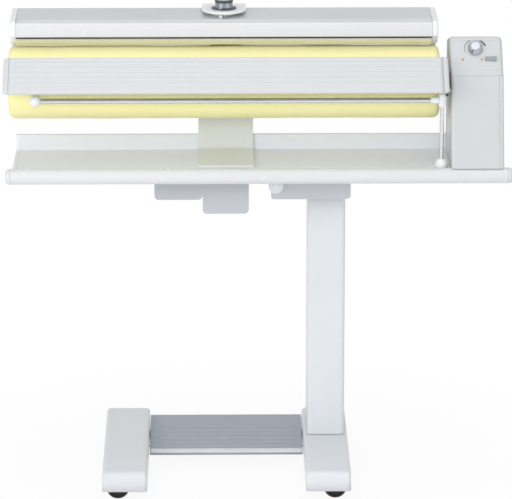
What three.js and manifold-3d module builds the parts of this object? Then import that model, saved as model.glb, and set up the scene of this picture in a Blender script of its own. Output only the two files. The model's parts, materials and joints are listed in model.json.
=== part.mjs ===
import * as THREE from 'three';
import { mergeVertices } from 'three/addons/utils/BufferGeometryUtils.js';
import Module from 'manifold-3d';

const wasm = await Module();
wasm.setup();

// Rotary ironer on a wheeled stand. Millimetres, +Z up, front towards -Y.
// The pieces are laid out from the middle of the roller and the last group centres the whole machine.

// Clearances and cutters
const fit = 0.3;
const runningGap = 0.5;
const overrun = 6;

// Roller and its axis
const rollerLength = 822;
const rollerRadius = 70;
const rollerAxisY = -45;
const rollerAxisZ = 806;
const clothThickness = 1.6;
const paddingThickness = 6;
const drumWall = 2;
const rollerEndRadius = 6;
const rollerEndSteps = 2;
const rollerFacets = 36;
const axleRadius = 10;

// Ironing unit on the stand
const pivotX = 99;
const pivotZ = 601;
const pivotPinRadius = 4.5;
const trayTopZ = 658;
const trayThickness = 6;
const trayRearY = 15;
const tubeY = -150;
const tubeZ = 646;
const tubeRadius = 15;
const tubeLeftReach = 5;
const tubeRightReach = 17;

// Feed board
const boardLeftReach = 7;
const boardHousingGap = 6;
const boardLowY = -165;
const boardLowZ = 813;
const boardTopY = -97;
const boardTopZ = 866;

// Housing at the right end
const housingGap = 20;
const housingWidth = 100;
const housingWall = 3;

// Where these lie along the roller
const rollerEndX = rollerLength / 2;
const housingLeftX = rollerEndX + housingGap;
const housingRightX = housingLeftX + housingWidth;
const tubeLeftX = -rollerEndX - tubeLeftReach;
const tubeRightX = housingRightX + tubeRightReach;
const boardLeftX = -rollerEndX - boardLeftReach;
const boardRightX = housingLeftX - boardHousingGap;

// Stand
const standMiddleX = 2.5;
const footSpacing = 395;
const footWidth = 87.5;
const standDepth = 380;
const columnWidth = 74;
const columnDepth = 100;
const columnFrontY = 25;
const columnWall = 2.5;

// Heater swing
const armPivotY = 42;
const armPivotZ = 600;
const pressAngle = 3 * Math.PI / 180;

const X = new THREE.Vector3(1, 0, 0);
const Y = new THREE.Vector3(0, 1, 0);
const Z = new THREE.Vector3(0, 0, 1);

function solidOf(geometry) {
  const bare = geometry.clone();
  bare.deleteAttribute('normal');
  bare.deleteAttribute('uv');
  const merged = mergeVertices(bare, 1e-4);
  return new wasm.Manifold(new wasm.Mesh({
    numProp: 3,
    vertProperties: new Float32Array(merged.attributes.position.array),
    triVerts: new Uint32Array(merged.index.array),
  }));
}

function geometryOf(solid) {
  const mesh = solid.getMesh();
  const geometry = new THREE.BufferGeometry();
  geometry.setAttribute('position', new THREE.BufferAttribute(new Float32Array(mesh.vertProperties), 3));
  geometry.setIndex(new THREE.BufferAttribute(new Uint32Array(mesh.triVerts), 1));
  geometry.computeVertexNormals();
  return geometry;
}

// Each corner is [a, b, radius]. A corner with a radius becomes an arc between its two straight sides.
function outline(corners, steps = 4) {
  const points = [];
  corners.forEach(([a, b, radius = 0], i) => {
    const corner = new THREE.Vector2(a, b);
    if (radius === 0) {
      points.push(corner);
      return;
    }
    const before = corners[(i + corners.length - 1) % corners.length];
    const after = corners[(i + 1) % corners.length];
    const toBefore = new THREE.Vector2(before[0] - a, before[1] - b).normalize();
    const toAfter = new THREE.Vector2(after[0] - a, after[1] - b).normalize();
    const half = Math.acos(THREE.MathUtils.clamp(toBefore.dot(toAfter), -1, 1)) / 2;
    const middle = toBefore.clone().add(toAfter).normalize();
    const centre = corner.clone().addScaledVector(middle, radius / Math.sin(half));
    const start = corner.clone().addScaledVector(toBefore, radius / Math.tan(half)).sub(centre);
    const end = corner.clone().addScaledVector(toAfter, radius / Math.tan(half)).sub(centre);
    const turn = Math.atan2(start.cross(end), start.dot(end));
    for (let k = 0; k <= steps; k += 1) {
      points.push(start.clone().rotateAround(new THREE.Vector2(), turn * k / steps).add(centre));
    }
  });
  return points;
}

// A flat outline carried along one axis: (y, z) along X, (x, z) along Y, (x, y) along Z.
function prism(axis, points, from, to) {
  const shape = new THREE.Shape(points);
  const geometry = new THREE.ExtrudeGeometry(shape, { depth: to - from, bevelEnabled: false });
  const place = new THREE.Matrix4();
  if (axis === 'x') place.makeBasis(Y, Z, X).setPosition(from, 0, 0);
  if (axis === 'y') place.makeBasis(X, Z, Y.clone().negate()).setPosition(0, to, 0);
  if (axis === 'z') place.setPosition(0, 0, from);
  return solidOf(geometry.applyMatrix4(place));
}

function box(x0, x1, y0, y1, z0, z1) {
  const geometry = new THREE.BoxGeometry(x1 - x0, y1 - y0, z1 - z0);
  return solidOf(geometry.translate((x0 + x1) / 2, (y0 + y1) / 2, (z0 + z1) / 2));
}

// A profile of [distance from the axis, place along it] pairs, turned about the named axis.
function turned(axis, profile, at = [0, 0, 0], segments = 32) {
  const points = profile.map(([radius, along]) => new THREE.Vector2(radius, along));
  const geometry = new THREE.LatheGeometry(points, segments);
  if (axis === 'x') geometry.rotateZ(-Math.PI / 2);
  if (axis === 'z') geometry.rotateX(Math.PI / 2);
  return solidOf(geometry.translate(...at));
}

function rod(axis, radius, from, to, at, segments = 24) {
  return turned(axis, [[0, from], [radius, from], [radius, to], [0, to]], at, segments);
}

function ring(axis, inner, outer, from, to, at, segments = 32) {
  return rod(axis, outer, from, to, at, segments)
    .subtract(rod(axis, inner, from - overrun, to + overrun, at, segments));
}

function finish(color, roughness, metalness = 0) {
  return new THREE.MeshStandardMaterial({ color, roughness, metalness });
}

const paint = {
  white: () => finish(0xeceeef, 0.4),
  grey: () => finish(0xd2d6d9, 0.5),
  dark: () => finish(0x3a3c3e, 0.6),
  steel: () => finish(0xb9bcbe, 0.35, 0.9),
  chrome: () => finish(0xdfe2e4, 0.12, 1),
  black: () => finish(0x1d1e1f, 0.8),
  cloth: () => finish(0xf6e9b4, 0.9),
  orange: () => finish(0xd9822b, 0.3),
};

function mesh(name, solid, material) {
  const piece = new THREE.Mesh(solid.isBufferGeometry ? solid : geometryOf(solid), material);
  piece.name = name;
  return piece;
}

function group(...pieces) {
  const holder = new THREE.Group();
  holder.add(...pieces);
  return holder;
}

// Feet: a pressed channel, open below, with a rounded front nose.
const footWall = 3;
const footUnderZ = 26;
const footFrontTopZ = 62;
const footRearTopZ = 75;
const footNoseLean = 8;
const footNoseRadius = 14;
const footEdgeRadius = 8;
const footFrontY = -standDepth / 2;
const footRearY = standDepth / 2;

// Height of the foot's sloping top, or of the inside of its wall, at a place along its length.
function footTopZ(y, inset = 0) {
  const frontY = footFrontY + footNoseLean + inset;
  const share = (y - frontY) / (footRearY - inset - frontY);
  return footFrontTopZ - inset + share * (footRearTopZ - footFrontTopZ);
}

function footForm(inset, bottomZ) {
  const side = outline([
    [footFrontY + inset, bottomZ],
    [footRearY - inset, bottomZ],
    [footRearY - inset, footRearTopZ - inset, footEdgeRadius - inset],
    [footFrontY + footNoseLean + inset, footFrontTopZ - inset, footNoseRadius - inset],
  ]);
  const halfWidth = footWidth / 2 - inset;
  const section = outline([
    [-halfWidth, bottomZ],
    [halfWidth, bottomZ],
    [halfWidth, footRearTopZ - inset, footEdgeRadius - inset],
    [-halfWidth, footRearTopZ - inset, footEdgeRadius - inset],
  ]);
  return prism('x', side, -halfWidth, halfWidth)
    .intersect(prism('y', section, footFrontY, footRearY));
}

// Pedal between the feet, hinged near its rear edge on a pin in each foot.
const pedalClearance = 1.5;
const pedalWall = 3;
const pedalRearInset = 10;
const pedalDepth = 152;
const pedalRearY = footRearY - pedalRearInset;
const pedalFrontY = pedalRearY - pedalDepth;
const pedalFrontTopZ = 37;
const pedalRearTopZ = 63;
const pedalFrontUnderZ = 27;
const pedalRearUnderZ = 43;
const pedalStepDepth = 72;
const pedalStepY = pedalRearY - pedalStepDepth;
const pedalNoseRadius = 4;
const pedalPivotInset = 34;
const pedalPivotY = pedalRearY - pedalPivotInset;
const pedalPivotZ = 48;
const pedalPinRadius = 4;
const pedalRibCount = 6;
const pedalRibPitch = 16.5;
const pedalRibHeight = 1.4;
const pedalRibWidth = 5;
const pedalRibStart = 14;
const pedalRibStartY = pedalFrontY + pedalRibStart;

const footInnerGap = footSpacing - footWidth;
const pedalHalfWidth = footInnerGap / 2 - pedalClearance;
const pedalSlopeShare = (pedalRearTopZ - pedalFrontTopZ) / (pedalRearY - pedalFrontY);

function pedalTop(y, rise = 0) {
  return [y, pedalFrontTopZ + (y - pedalFrontY) * pedalSlopeShare + rise];
}

function footPedal() {
  const under = [
    [pedalFrontY, pedalFrontUnderZ],
    [pedalStepY, pedalFrontUnderZ],
    [pedalStepY, pedalRearUnderZ],
    [pedalRearY, pedalRearUnderZ],
  ];
  const ribs = [];
  for (let k = pedalRibCount - 1; k >= 0; k -= 1) {
    const y = pedalRibStartY + k * pedalRibPitch;
    ribs.push(pedalTop(y + pedalRibWidth), pedalTop(y + pedalRibWidth * 3 / 4, pedalRibHeight));
    ribs.push(pedalTop(y + pedalRibWidth / 4, pedalRibHeight), pedalTop(y));
  }
  const corners = [
    ...under,
    [...pedalTop(pedalRearY), pedalNoseRadius],
    ...ribs,
    [...pedalTop(pedalFrontY), pedalNoseRadius],
  ];
  const inside = [
    [pedalFrontY + pedalWall, pedalFrontUnderZ - overrun],
    [pedalRearY - pedalWall, pedalFrontUnderZ - overrun],
    pedalTop(pedalRearY - pedalWall, -pedalWall),
    pedalTop(pedalFrontY + pedalWall, -pedalWall),
  ];
  const innerHalf = pedalHalfWidth - pedalWall;
  const pinHole = rod('x', pedalPinRadius + fit, -footInnerGap, footInnerGap, [0, pedalPivotY, pedalPivotZ]);
  return prism('x', outline(corners), -pedalHalfWidth, pedalHalfWidth)
    .subtract(prism('x', outline(inside), -innerHalf, innerHalf))
    .subtract(pinHole);
}

function foot(side) {
  const inner = side * -footWidth / 2;
  const pinReach = side * -(footWidth / 2 + pedalClearance + pedalWall + overrun);
  const pin = rod('x', pedalPinRadius, Math.min(inner + side * footWall / 2, pinReach),
    Math.max(inner + side * footWall / 2, pinReach), [0, pedalPivotY, pedalPivotZ], 16);
  return footForm(0, footUnderZ).subtract(footForm(footWall, footUnderZ - overrun)).add(pin);
}

// Castors: an off-centre wheel in a fork whose stem turns in the foot.
const castorInset = 42;
const castorY = footRearY - castorInset;
const castorTrail = 14;
const wheelRadius = 22;
const wheelWidth = 18;
const wheelCrown = 1.5;
const castorAxleRadius = 3;
const forkGap = 1;
const forkWall = 2.5;
const forkCrownZ = 46;
const forkCrownThickness = 4;
const forkCrownRadius = 17;
const castorStemRadius = 6;

function castorWheel() {
  const half = wheelWidth / 2;
  const profile = [
    [castorAxleRadius + fit, -half],
    [wheelRadius - wheelCrown * 2, -half],
    [wheelRadius, -half + wheelCrown * 2],
    [wheelRadius, half - wheelCrown * 2],
    [wheelRadius - wheelCrown * 2, half],
    [castorAxleRadius + fit, half],
    [castorAxleRadius + fit, -half],
  ];
  return turned('y', profile, [0, 0, 0], 24);
}

function castorFork(side, topZ) {
  const cheekInner = wheelWidth / 2 + forkGap;
  const cheek = outline([
    [side * (castorTrail - castorAxleRadius * 2), wheelRadius - castorAxleRadius * 2],
    [side * (castorTrail + castorAxleRadius * 2), wheelRadius - castorAxleRadius * 2],
    [side * (castorTrail + castorAxleRadius * 2), forkCrownZ + forkCrownThickness / 2],
    [side * -castorAxleRadius * 2, forkCrownZ + forkCrownThickness / 2],
  ]);
  const drawn = side > 0 ? cheek : cheek.reverse();
  const axle = rod('y', castorAxleRadius, -cheekInner - forkWall, cheekInner + forkWall,
    [side * castorTrail, 0, wheelRadius], 12);
  const crown = rod('z', forkCrownRadius, forkCrownZ, forkCrownZ + forkCrownThickness, [0, 0, 0], 20)
    .add(rod('z', castorStemRadius, forkCrownZ, topZ, [0, 0, 0], 12));
  return crown
    .add(prism('y', drawn, cheekInner, cheekInner + forkWall))
    .add(prism('y', drawn, -cheekInner - forkWall, -cheekInner))
    .add(axle);
}

// Beam under the pedal, with the housing of the switch that the pedal works.
const beamDepth = 30;
const beamFrontY = pedalPivotY - beamDepth * 2 / 3;
const beamRearY = beamFrontY + beamDepth;
const beamUnderZ = 26;
const beamTopZ = 37;
const switchHalfWidth = 16;
const switchDepth = 14;
const switchTopZ = 47;

function standPieces() {
  const pieces = [];
  const rightX = standMiddleX + footSpacing / 2;
  const leftX = standMiddleX - footSpacing / 2;
  const leftFoot = mesh('left_foot', foot(-1), paint.grey());
  leftFoot.position.x = leftX;
  const rightFoot = mesh('right_foot', foot(1), paint.grey());
  rightFoot.position.x = rightX;
  pieces.push(leftFoot, rightFoot);
  const beamHalf = footInnerGap / 2 - fit;
  const button = box(-switchHalfWidth, switchHalfWidth, pedalPivotY - switchDepth - overrun,
    pedalPivotY - overrun, beamUnderZ, switchTopZ);
  const beam = mesh('cross_beam',
    box(-beamHalf, beamHalf, beamFrontY, beamRearY, beamUnderZ, beamTopZ).add(button), paint.dark());
  beam.position.x = standMiddleX;
  const pedal = mesh('foot_pedal', footPedal(), paint.dark());
  pedal.position.x = standMiddleX;
  pieces.push(beam, pedal);
  for (const [sideName, side, footX] of [['left', -1, leftX], ['right', 1, rightX]]) {
    for (const [endName, end] of [['front', -1], ['rear', 1]]) {
      const topZ = footTopZ(end * castorY - castorStemRadius, footWall) - fit;
      const fork = mesh(`castor_fork_${endName}_${sideName}`, castorFork(side, topZ), paint.steel());
      fork.position.set(footX, end * castorY, 0);
      const wheel = mesh(`castor_wheel_${endName}_${sideName}`, castorWheel(), paint.black());
      wheel.position.set(footX + side * castorTrail, end * castorY, wheelRadius);
      pieces.push(fork, wheel);
    }
  }
  return pieces;
}

// Column and the head bracket that the ironing unit folds on.
const columnEdgeRadius = 8;
const columnTopZ = 640;
const bracketFrontY = -50;
const earThickness = 30;
const earRise = 16;
const bracketLeftX = 90.5;
const bracketRightX = 244;
const bracketUnderZ = 574;
const bracketWall = 6;
const bracketLeftEdgeRadius = 4;
const bracketRightEdgeRadius = 8;

function columnAndBracket() {
  const columnX = standMiddleX + footSpacing / 2;
  const rearY = columnFrontY + columnDepth;
  const halfWidth = columnWidth / 2;
  const tube = (inset) => outline([
    [columnX - halfWidth + inset, columnFrontY + inset, columnEdgeRadius - inset],
    [columnX + halfWidth - inset, columnFrontY + inset, columnEdgeRadius - inset],
    [columnX + halfWidth - inset, rearY - inset, columnEdgeRadius - inset],
    [columnX - halfWidth + inset, rearY - inset, columnEdgeRadius - inset],
  ]);
  const footPlane = outline([
    [columnFrontY - overrun, 0],
    [rearY + overrun, 0],
    [rearY + overrun, footTopZ(rearY + overrun) + fit],
    [columnFrontY - overrun, footTopZ(columnFrontY - overrun) + fit],
  ]);
  const column = prism('z', tube(0), footUnderZ, columnTopZ)
    .subtract(prism('z', tube(columnWall), footUnderZ - overrun, columnTopZ + overrun))
    .subtract(prism('x', footPlane, columnX - columnWidth, columnX + columnWidth));

  const bracketTopZ = trayTopZ - trayThickness - fit;
  const earOutline = outline([
    [bracketLeftX, bracketUnderZ, bracketLeftEdgeRadius],
    [bracketRightX, bracketUnderZ, bracketRightEdgeRadius],
    [bracketRightX, bracketTopZ],
    [pivotX + fit, bracketTopZ],
    [pivotX + fit, pivotZ + earRise],
    [bracketLeftX, pivotZ + earRise, bracketLeftEdgeRadius],
  ], 6);
  const socketLeftX = columnX - halfWidth - bracketWall;
  const socketRightX = columnX + halfWidth + bracketWall;
  const earRearY = bracketFrontY + earThickness;
  const pocket = box(columnX - halfWidth, columnX + halfWidth, earRearY, columnFrontY - bracketWall,
    bracketUnderZ - overrun, bracketTopZ - bracketWall);
  const socket = box(columnX - halfWidth - fit, columnX + halfWidth + fit, columnFrontY - fit, rearY + fit,
    bracketUnderZ - overrun, columnTopZ + fit);
  const bracket = prism('y', earOutline, bracketFrontY, earRearY)
    .add(box(socketLeftX, socketRightX, earRearY, rearY + bracketWall, bracketUnderZ, bracketTopZ))
    .subtract(pocket)
    .subtract(socket)
    .subtract(rod('y', pivotPinRadius + fit, bracketFrontY - overrun, earRearY + overrun,
      [pivotX, 0, pivotZ]));

  const headRadius = pivotPinRadius * 3 / 2;
  const frontY = bracketFrontY - fit - lugThickness - fit;
  const pinEndY = earRearY + fit + lugThickness + overrun;
  const pin = turned('y', [
    [0, frontY - pivotPinRadius / 2],
    [headRadius, frontY - pivotPinRadius / 2],
    [headRadius, frontY],
    [pivotPinRadius, frontY],
    [pivotPinRadius, pinEndY],
    [0, pinEndY],
  ], [pivotX, 0, pivotZ], 24);
  return [
    mesh('column', column, paint.grey()),
    mesh('head_bracket', bracket, paint.grey()),
    mesh('fold_pivot_pin', pin, paint.white()),
  ];
}

// Laundry tray with its fold lugs, end cap, front tube and the boxes below.
const lugThickness = 7;
const lugHalfWidth = 14;
const trayLeftShortfall = 15;
const trayRightShortfall = 3;
const trayLeftX = -rollerEndX + trayLeftShortfall;
const trayRightX = housingRightX - trayRightShortfall;
const trayCapWidth = 7;
const trayWallThickness = 10;
const trayWallTopZ = 688;
const trayCornerRadius = 2;
const trayLipUnderZ = 634;
const trayLipThickness = 3;
const tubeWall = 2;
const tubeCapLength = 9;
const tubeCapEndRadius = 9;
const tubeCapSteps = 3;

function trayOutline() {
  const frontY = tubeY + tubeRadius + fit;
  const underZ = trayTopZ - trayThickness;
  const rearY = trayRearY + trayWallThickness;
  return outline([
    [frontY, trayLipUnderZ],
    [frontY + trayLipThickness, trayLipUnderZ],
    [frontY + trayLipThickness, underZ],
    [rearY, underZ, trayThickness / 2],
    [rearY, trayWallTopZ, trayWallThickness / 3],
    [trayRearY, trayWallTopZ, trayWallThickness / 3],
    [trayRearY, trayTopZ, trayCornerRadius],
    [frontY, trayTopZ],
  ]);
}

function foldLug(fromY, toY) {
  const topZ = trayTopZ - trayThickness / 2;
  return prism('y', outline([
    [pivotX - lugHalfWidth, pivotZ - lugHalfWidth, lugHalfWidth - fit],
    [pivotX + lugHalfWidth, pivotZ - lugHalfWidth, lugHalfWidth - fit],
    [pivotX + lugHalfWidth, topZ],
    [pivotX - lugHalfWidth, topZ],
  ], 6), fromY, toY).subtract(rod('y', pivotPinRadius + fit, fromY - overrun, toY + overrun,
    [pivotX, 0, pivotZ]));
}

const boxWall = 2.5;
const driveBoxLeftX = -42;
const driveBoxRightX = 47;
const driveBoxFrontY = -60;
const driveBoxRearY = 56;
const driveBoxUnderZ = 548;
const driveBoxEdgeRadius = 8;
const supplyBoxLeftX = -135;
const supplyBoxRearY = 0;
const supplyBoxUnderZ = 576;

function openBox(x0, x1, y0, y1, z0, topZ) {
  const form = (inset, top) => prism('y', outline([
    [x0 + inset, z0 + inset, driveBoxEdgeRadius - inset],
    [x1 - inset, z0 + inset, driveBoxEdgeRadius - inset],
    [x1 - inset, top],
    [x0 + inset, top],
  ]), y0 + inset, y1 - inset);
  return form(0, topZ).subtract(form(boxWall, topZ + overrun));
}

// Arm cover: a hollow L that shields the heater arm behind the roller and its leads on the tray floor.
const armCoverLeftX = -50;
const armCoverRightX = 56;
const armCoverWall = 2.5;
const armCoverTopZ = 752;
const armCoverRearY = 62;
const armCoverFloorRise = 4;
const armCoverFrontGap = 2;
const armSlotWidth = 5;

// Heater arm, from its pivot in the drive box up to the shoe.
const armLeftX = -27;
const armRightX = 33;
const armFrontY = 38;
const armThickness = 8;
const armBossRadius = 9;
const armPinRadius = 5;
const armReachY = -30;

function trayPieces() {
  const faceOfTrayWall = trayRearY - trayCornerRadius - fit;
  const rearOfTrayWall = trayRearY + trayWallThickness + overrun;
  const lugFrontY = bracketFrontY - fit - lugThickness;
  const lugRearY = bracketFrontY + earThickness + fit;
  const underHousing = box(housingLeftX - fit, trayRightX + overrun, faceOfTrayWall, rearOfTrayWall,
    trayTopZ, trayWallTopZ + overrun);
  const tray = prism('x', trayOutline(), trayLeftX, trayRightX)
    .subtract(underHousing)
    .add(foldLug(lugFrontY, lugFrontY + lugThickness))
    .add(foldLug(lugRearY, lugRearY + lugThickness));
  const cap = prism('x', trayOutline(), trayLeftX - fit - trayCapWidth, trayLeftX - fit);
  const tube = ring('x', tubeRadius - tubeWall, tubeRadius, tubeLeftX + tubeCapLength + fit,
    tubeRightX - tubeCapLength - fit, [0, tubeY, tubeZ], 36);
  const tubeCap = (side) => {
    const end = side * tubeCapLength;
    const profile = [[0, 0], [tubeRadius, 0]];
    for (let k = 0; k <= tubeCapSteps; k += 1) {
      const a = k / tubeCapSteps * Math.PI / 2;
      profile.push([tubeRadius - tubeCapEndRadius * (1 - Math.cos(a)),
        end * (1 - tubeCapEndRadius / tubeCapLength * (1 - Math.sin(a)))]);
    }
    profile.push([0, end]);
    return turned('x', side > 0 ? profile : profile.reverse(), [0, tubeY, tubeZ], 32);
  };
  const leftCap = mesh('tube_cap_left', tubeCap(-1), paint.grey());
  leftCap.position.x = tubeLeftX + tubeCapLength;
  const rightCap = mesh('tube_cap_right', tubeCap(1), paint.grey());
  rightCap.position.x = tubeRightX - tubeCapLength;

  const underTrayZ = trayTopZ - trayThickness - fit;
  const rearOfTrayY = trayRearY + trayWallThickness + fit;
  const driveBox = openBox(driveBoxLeftX, driveBoxRightX, driveBoxFrontY, driveBoxRearY,
    driveBoxUnderZ, underTrayZ)
    .add(rod('x', armPinRadius, driveBoxLeftX + boxWall / 2, driveBoxRightX - boxWall / 2,
      [0, armPivotY, armPivotZ], 20));
  const supplyBox = openBox(supplyBoxLeftX, driveBoxLeftX - fit, driveBoxFrontY, supplyBoxRearY,
    supplyBoxUnderZ, underTrayZ);

  const coverFrontY = tubeY + tubeRadius + fit + armCoverFrontGap;
  const floorZ = trayTopZ + fit;
  const faceY = faceOfTrayWall - armCoverWall;
  const side = (inset, top) => outline([
    [faceY + inset, floorZ],
    [armCoverRearY - inset, floorZ],
    [armCoverRearY - inset, top, armCoverWall * 2],
    [faceY + inset, top, armCoverWall * 2],
  ]);
  const opening = box(armLeftX - overrun, armRightX + overrun, faceY + armCoverWall,
    armCoverRearY - armCoverWall, floorZ - overrun, armCoverTopZ + overrun);
  const behindTray = box(armCoverLeftX - overrun, armCoverRightX + overrun, faceY + armCoverWall,
    rearOfTrayY, floorZ - overrun, trayWallTopZ + fit);
  const slotRise = armCoverWall * 2;
  const slotZ = armCoverTopZ - slotRise * 2;
  const slots = [armCoverLeftX + overrun * 2, armCoverRightX - overrun * 2].map((x) => box(
    x - armSlotWidth / 2, x + armSlotWidth / 2, faceY - overrun, faceY + armCoverWall + overrun,
    slotZ - slotRise, slotZ));
  const armCover = prism('x', side(0, armCoverTopZ), armCoverLeftX, armCoverRightX)
    .subtract(prism('x', side(armCoverWall, armCoverTopZ - armCoverWall),
      armCoverLeftX + armCoverWall, armCoverRightX - armCoverWall))
    .subtract(opening)
    .subtract(behindTray)
    .subtract(slots[0])
    .subtract(slots[1])
    .add(prism('x', outline([
      [coverFrontY, floorZ],
      [faceY + armCoverWall / 2, floorZ],
      [faceY + armCoverWall / 2, floorZ + armCoverFloorRise],
      [coverFrontY, floorZ + armCoverFloorRise, armCoverFloorRise / 2],
    ]), armCoverLeftX, armCoverRightX));
  return [
    mesh('tray', tray, paint.grey()),
    mesh('tray_end_cap', cap, paint.white()),
    mesh('front_tube', tube, paint.white()),
    leftCap,
    rightCap,
    mesh('drive_box', driveBox, paint.grey()),
    mesh('supply_box', supplyBox, paint.grey()),
    mesh('arm_cover', armCover, paint.grey()),
  ];
}

// Press drive inside the drive box: a motor turns a cam that swings the arm by its tail.
const pressMotorRadius = 20;
const pressMotorY = -28;
const pressMotorLength = 36;
const camRadius = 14;
const camThickness = 8;
const camOffset = 4;
const camShaftRadius = 4;
const armTailThickness = 6;

function pressDrive() {
  const motorZ = armPivotZ - pressMotorRadius / 4;
  const motorLeftX = driveBoxLeftX + boxWall + fit;
  const motorRightX = motorLeftX + pressMotorLength;
  const motor = rod('x', pressMotorRadius, motorLeftX, motorRightX, [0, pressMotorY, motorZ], 28);
  const camLeftX = motorRightX + fit;
  const cam = rod('x', camRadius, camLeftX, camLeftX + camThickness, [0, pressMotorY + camOffset, motorZ], 28)
    .add(rod('x', camShaftRadius, camLeftX, camLeftX + camThickness * 2, [0, pressMotorY, motorZ], 16));
  return [
    mesh('press_motor', motor, paint.dark()),
    mesh('press_cam', cam, paint.steel()),
  ];
}

// Roller: steel drum, padding, cloth cover and two hubs that run on a fixed axle.
// The right hub carries the drive pulley on its sleeve.
const hubThickness = 10;
const hubBossRadius = 20;
const driveSleeveRadius = 17;
const pulleyInset = 9;
const pulleyLeftX = housingLeftX + pulleyInset;
const pulleyWidth = 14;
const beltThickness = 3;
const rollerPulleyRadius = 40;
const motorPulleyRadius = 12;
const motorY = -76;
const motorZ = 706;
const motorRadius = 30;
const motorShaftRadius = 5;
const framePlateInset = 29;
const framePlateLeftX = housingLeftX + framePlateInset;
const framePlateThickness = 4;

function rollerPieces() {
  const half = rollerEndX;
  const axis = [0, rollerAxisY, rollerAxisZ];
  const clothInner = rollerRadius - clothThickness;
  const paddingInner = clothInner - fit - paddingThickness;
  const drumOuter = paddingInner - fit;
  const drumInner = drumOuter - drumWall;
  const bore = axleRadius + runningGap;
  const profile = [[clothInner, -half + rollerEndRadius]];
  const lip = clothInner - rollerEndRadius;
  const rounded = (side) => {
    const arc = [];
    for (let k = 0; k <= rollerEndSteps; k += 1) {
      const a = k / rollerEndSteps * Math.PI / 2;
      arc.push([rollerRadius - rollerEndRadius * (1 - Math.cos(a)),
        side * (half - rollerEndRadius * (1 - Math.sin(a)))]);
    }
    return side < 0 ? arc.reverse() : arc;
  };
  profile.push([lip, -half + clothThickness], [lip, -half], ...rounded(-1), ...rounded(1));
  profile.push([lip, half], [lip, half - clothThickness], [clothInner, half - rollerEndRadius]);
  profile.push(profile[0]);
  const cover = turned('x', profile, axis, rollerFacets);
  const padHalf = half - rollerEndRadius - fit;
  const padding = ring('x', paddingInner, clothInner - fit, -padHalf, padHalf, axis, rollerFacets);
  const drumHalf = padHalf - hubThickness;
  const drum = ring('x', drumInner, drumOuter, -drumHalf, drumHalf, axis, rollerFacets);
  const face = drumHalf + fit;
  const flange = [
    [bore, face - hubThickness],
    [hubBossRadius, face - hubThickness],
    [hubBossRadius, face],
    [drumOuter, face],
    [drumOuter, face + hubThickness],
  ];
  const leftHub = turned('x', [...flange, [bore, face + hubThickness], flange[0]], axis, rollerFacets)
    .mirror([1, 0, 0]);
  const rightHub = turned('x', [
    ...flange,
    [driveSleeveRadius, face + hubThickness],
    [driveSleeveRadius, pulleyLeftX],
    ...pulleyRim(rollerPulleyRadius),
    [bore, pulleyLeftX + pulleyWidth],
    flange[0],
  ], axis, rollerFacets);
  return [
    mesh('roller_cover', cover, paint.cloth()),
    mesh('roller_padding', padding, paint.cloth()),
    mesh('roller_drum', drum, paint.steel()),
    mesh('roller_hub_left', leftHub, paint.grey()),
    mesh('roller_hub_right', rightHub, paint.grey()),
  ];
}

// A pulley's rim has two thin flanges that keep the belt on.
const flangeThickness = 2;
const flangeRise = 2;

function pulleyRim(radius) {
  const x0 = pulleyLeftX;
  const x1 = pulleyLeftX + pulleyWidth;
  return [
    [radius + flangeRise, x0],
    [radius + flangeRise, x0 + flangeThickness],
    [radius, x0 + flangeThickness],
    [radius, x1 - flangeThickness],
    [radius + flangeRise, x1 - flangeThickness],
    [radius + flangeRise, x1],
  ];
}

// The belt runs round both pulleys: its outline is the two arcs and the straight runs that touch them.
function beltForm() {
  const loop = (extra) => {
    const dy = motorY - rollerAxisY;
    const dz = motorZ - rollerAxisZ;
    const distance = Math.hypot(dy, dz);
    const heading = Math.atan2(dz, dy);
    const wrap = Math.acos((rollerPulleyRadius - motorPulleyRadius) / distance);
    const points = [];
    const arc = (cy, cz, radius, from, to, steps) => {
      for (let k = 0; k <= steps; k += 1) {
        const a = from + (to - from) * k / steps;
        points.push(new THREE.Vector2(cy + (radius + extra) * Math.cos(a), cz + (radius + extra) * Math.sin(a)));
      }
    };
    arc(rollerAxisY, rollerAxisZ, rollerPulleyRadius, heading + wrap, heading + Math.PI * 2 - wrap, 20);
    arc(motorY, motorZ, motorPulleyRadius, heading - wrap, heading + wrap, 10);
    return points;
  };
  const x0 = pulleyLeftX + flangeThickness + fit;
  const x1 = pulleyLeftX + pulleyWidth - flangeThickness - fit;
  return prism('x', loop(runningGap + beltThickness), x0, x1)
    .subtract(prism('x', loop(runningGap), x0 - overrun, x1 + overrun));
}

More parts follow.
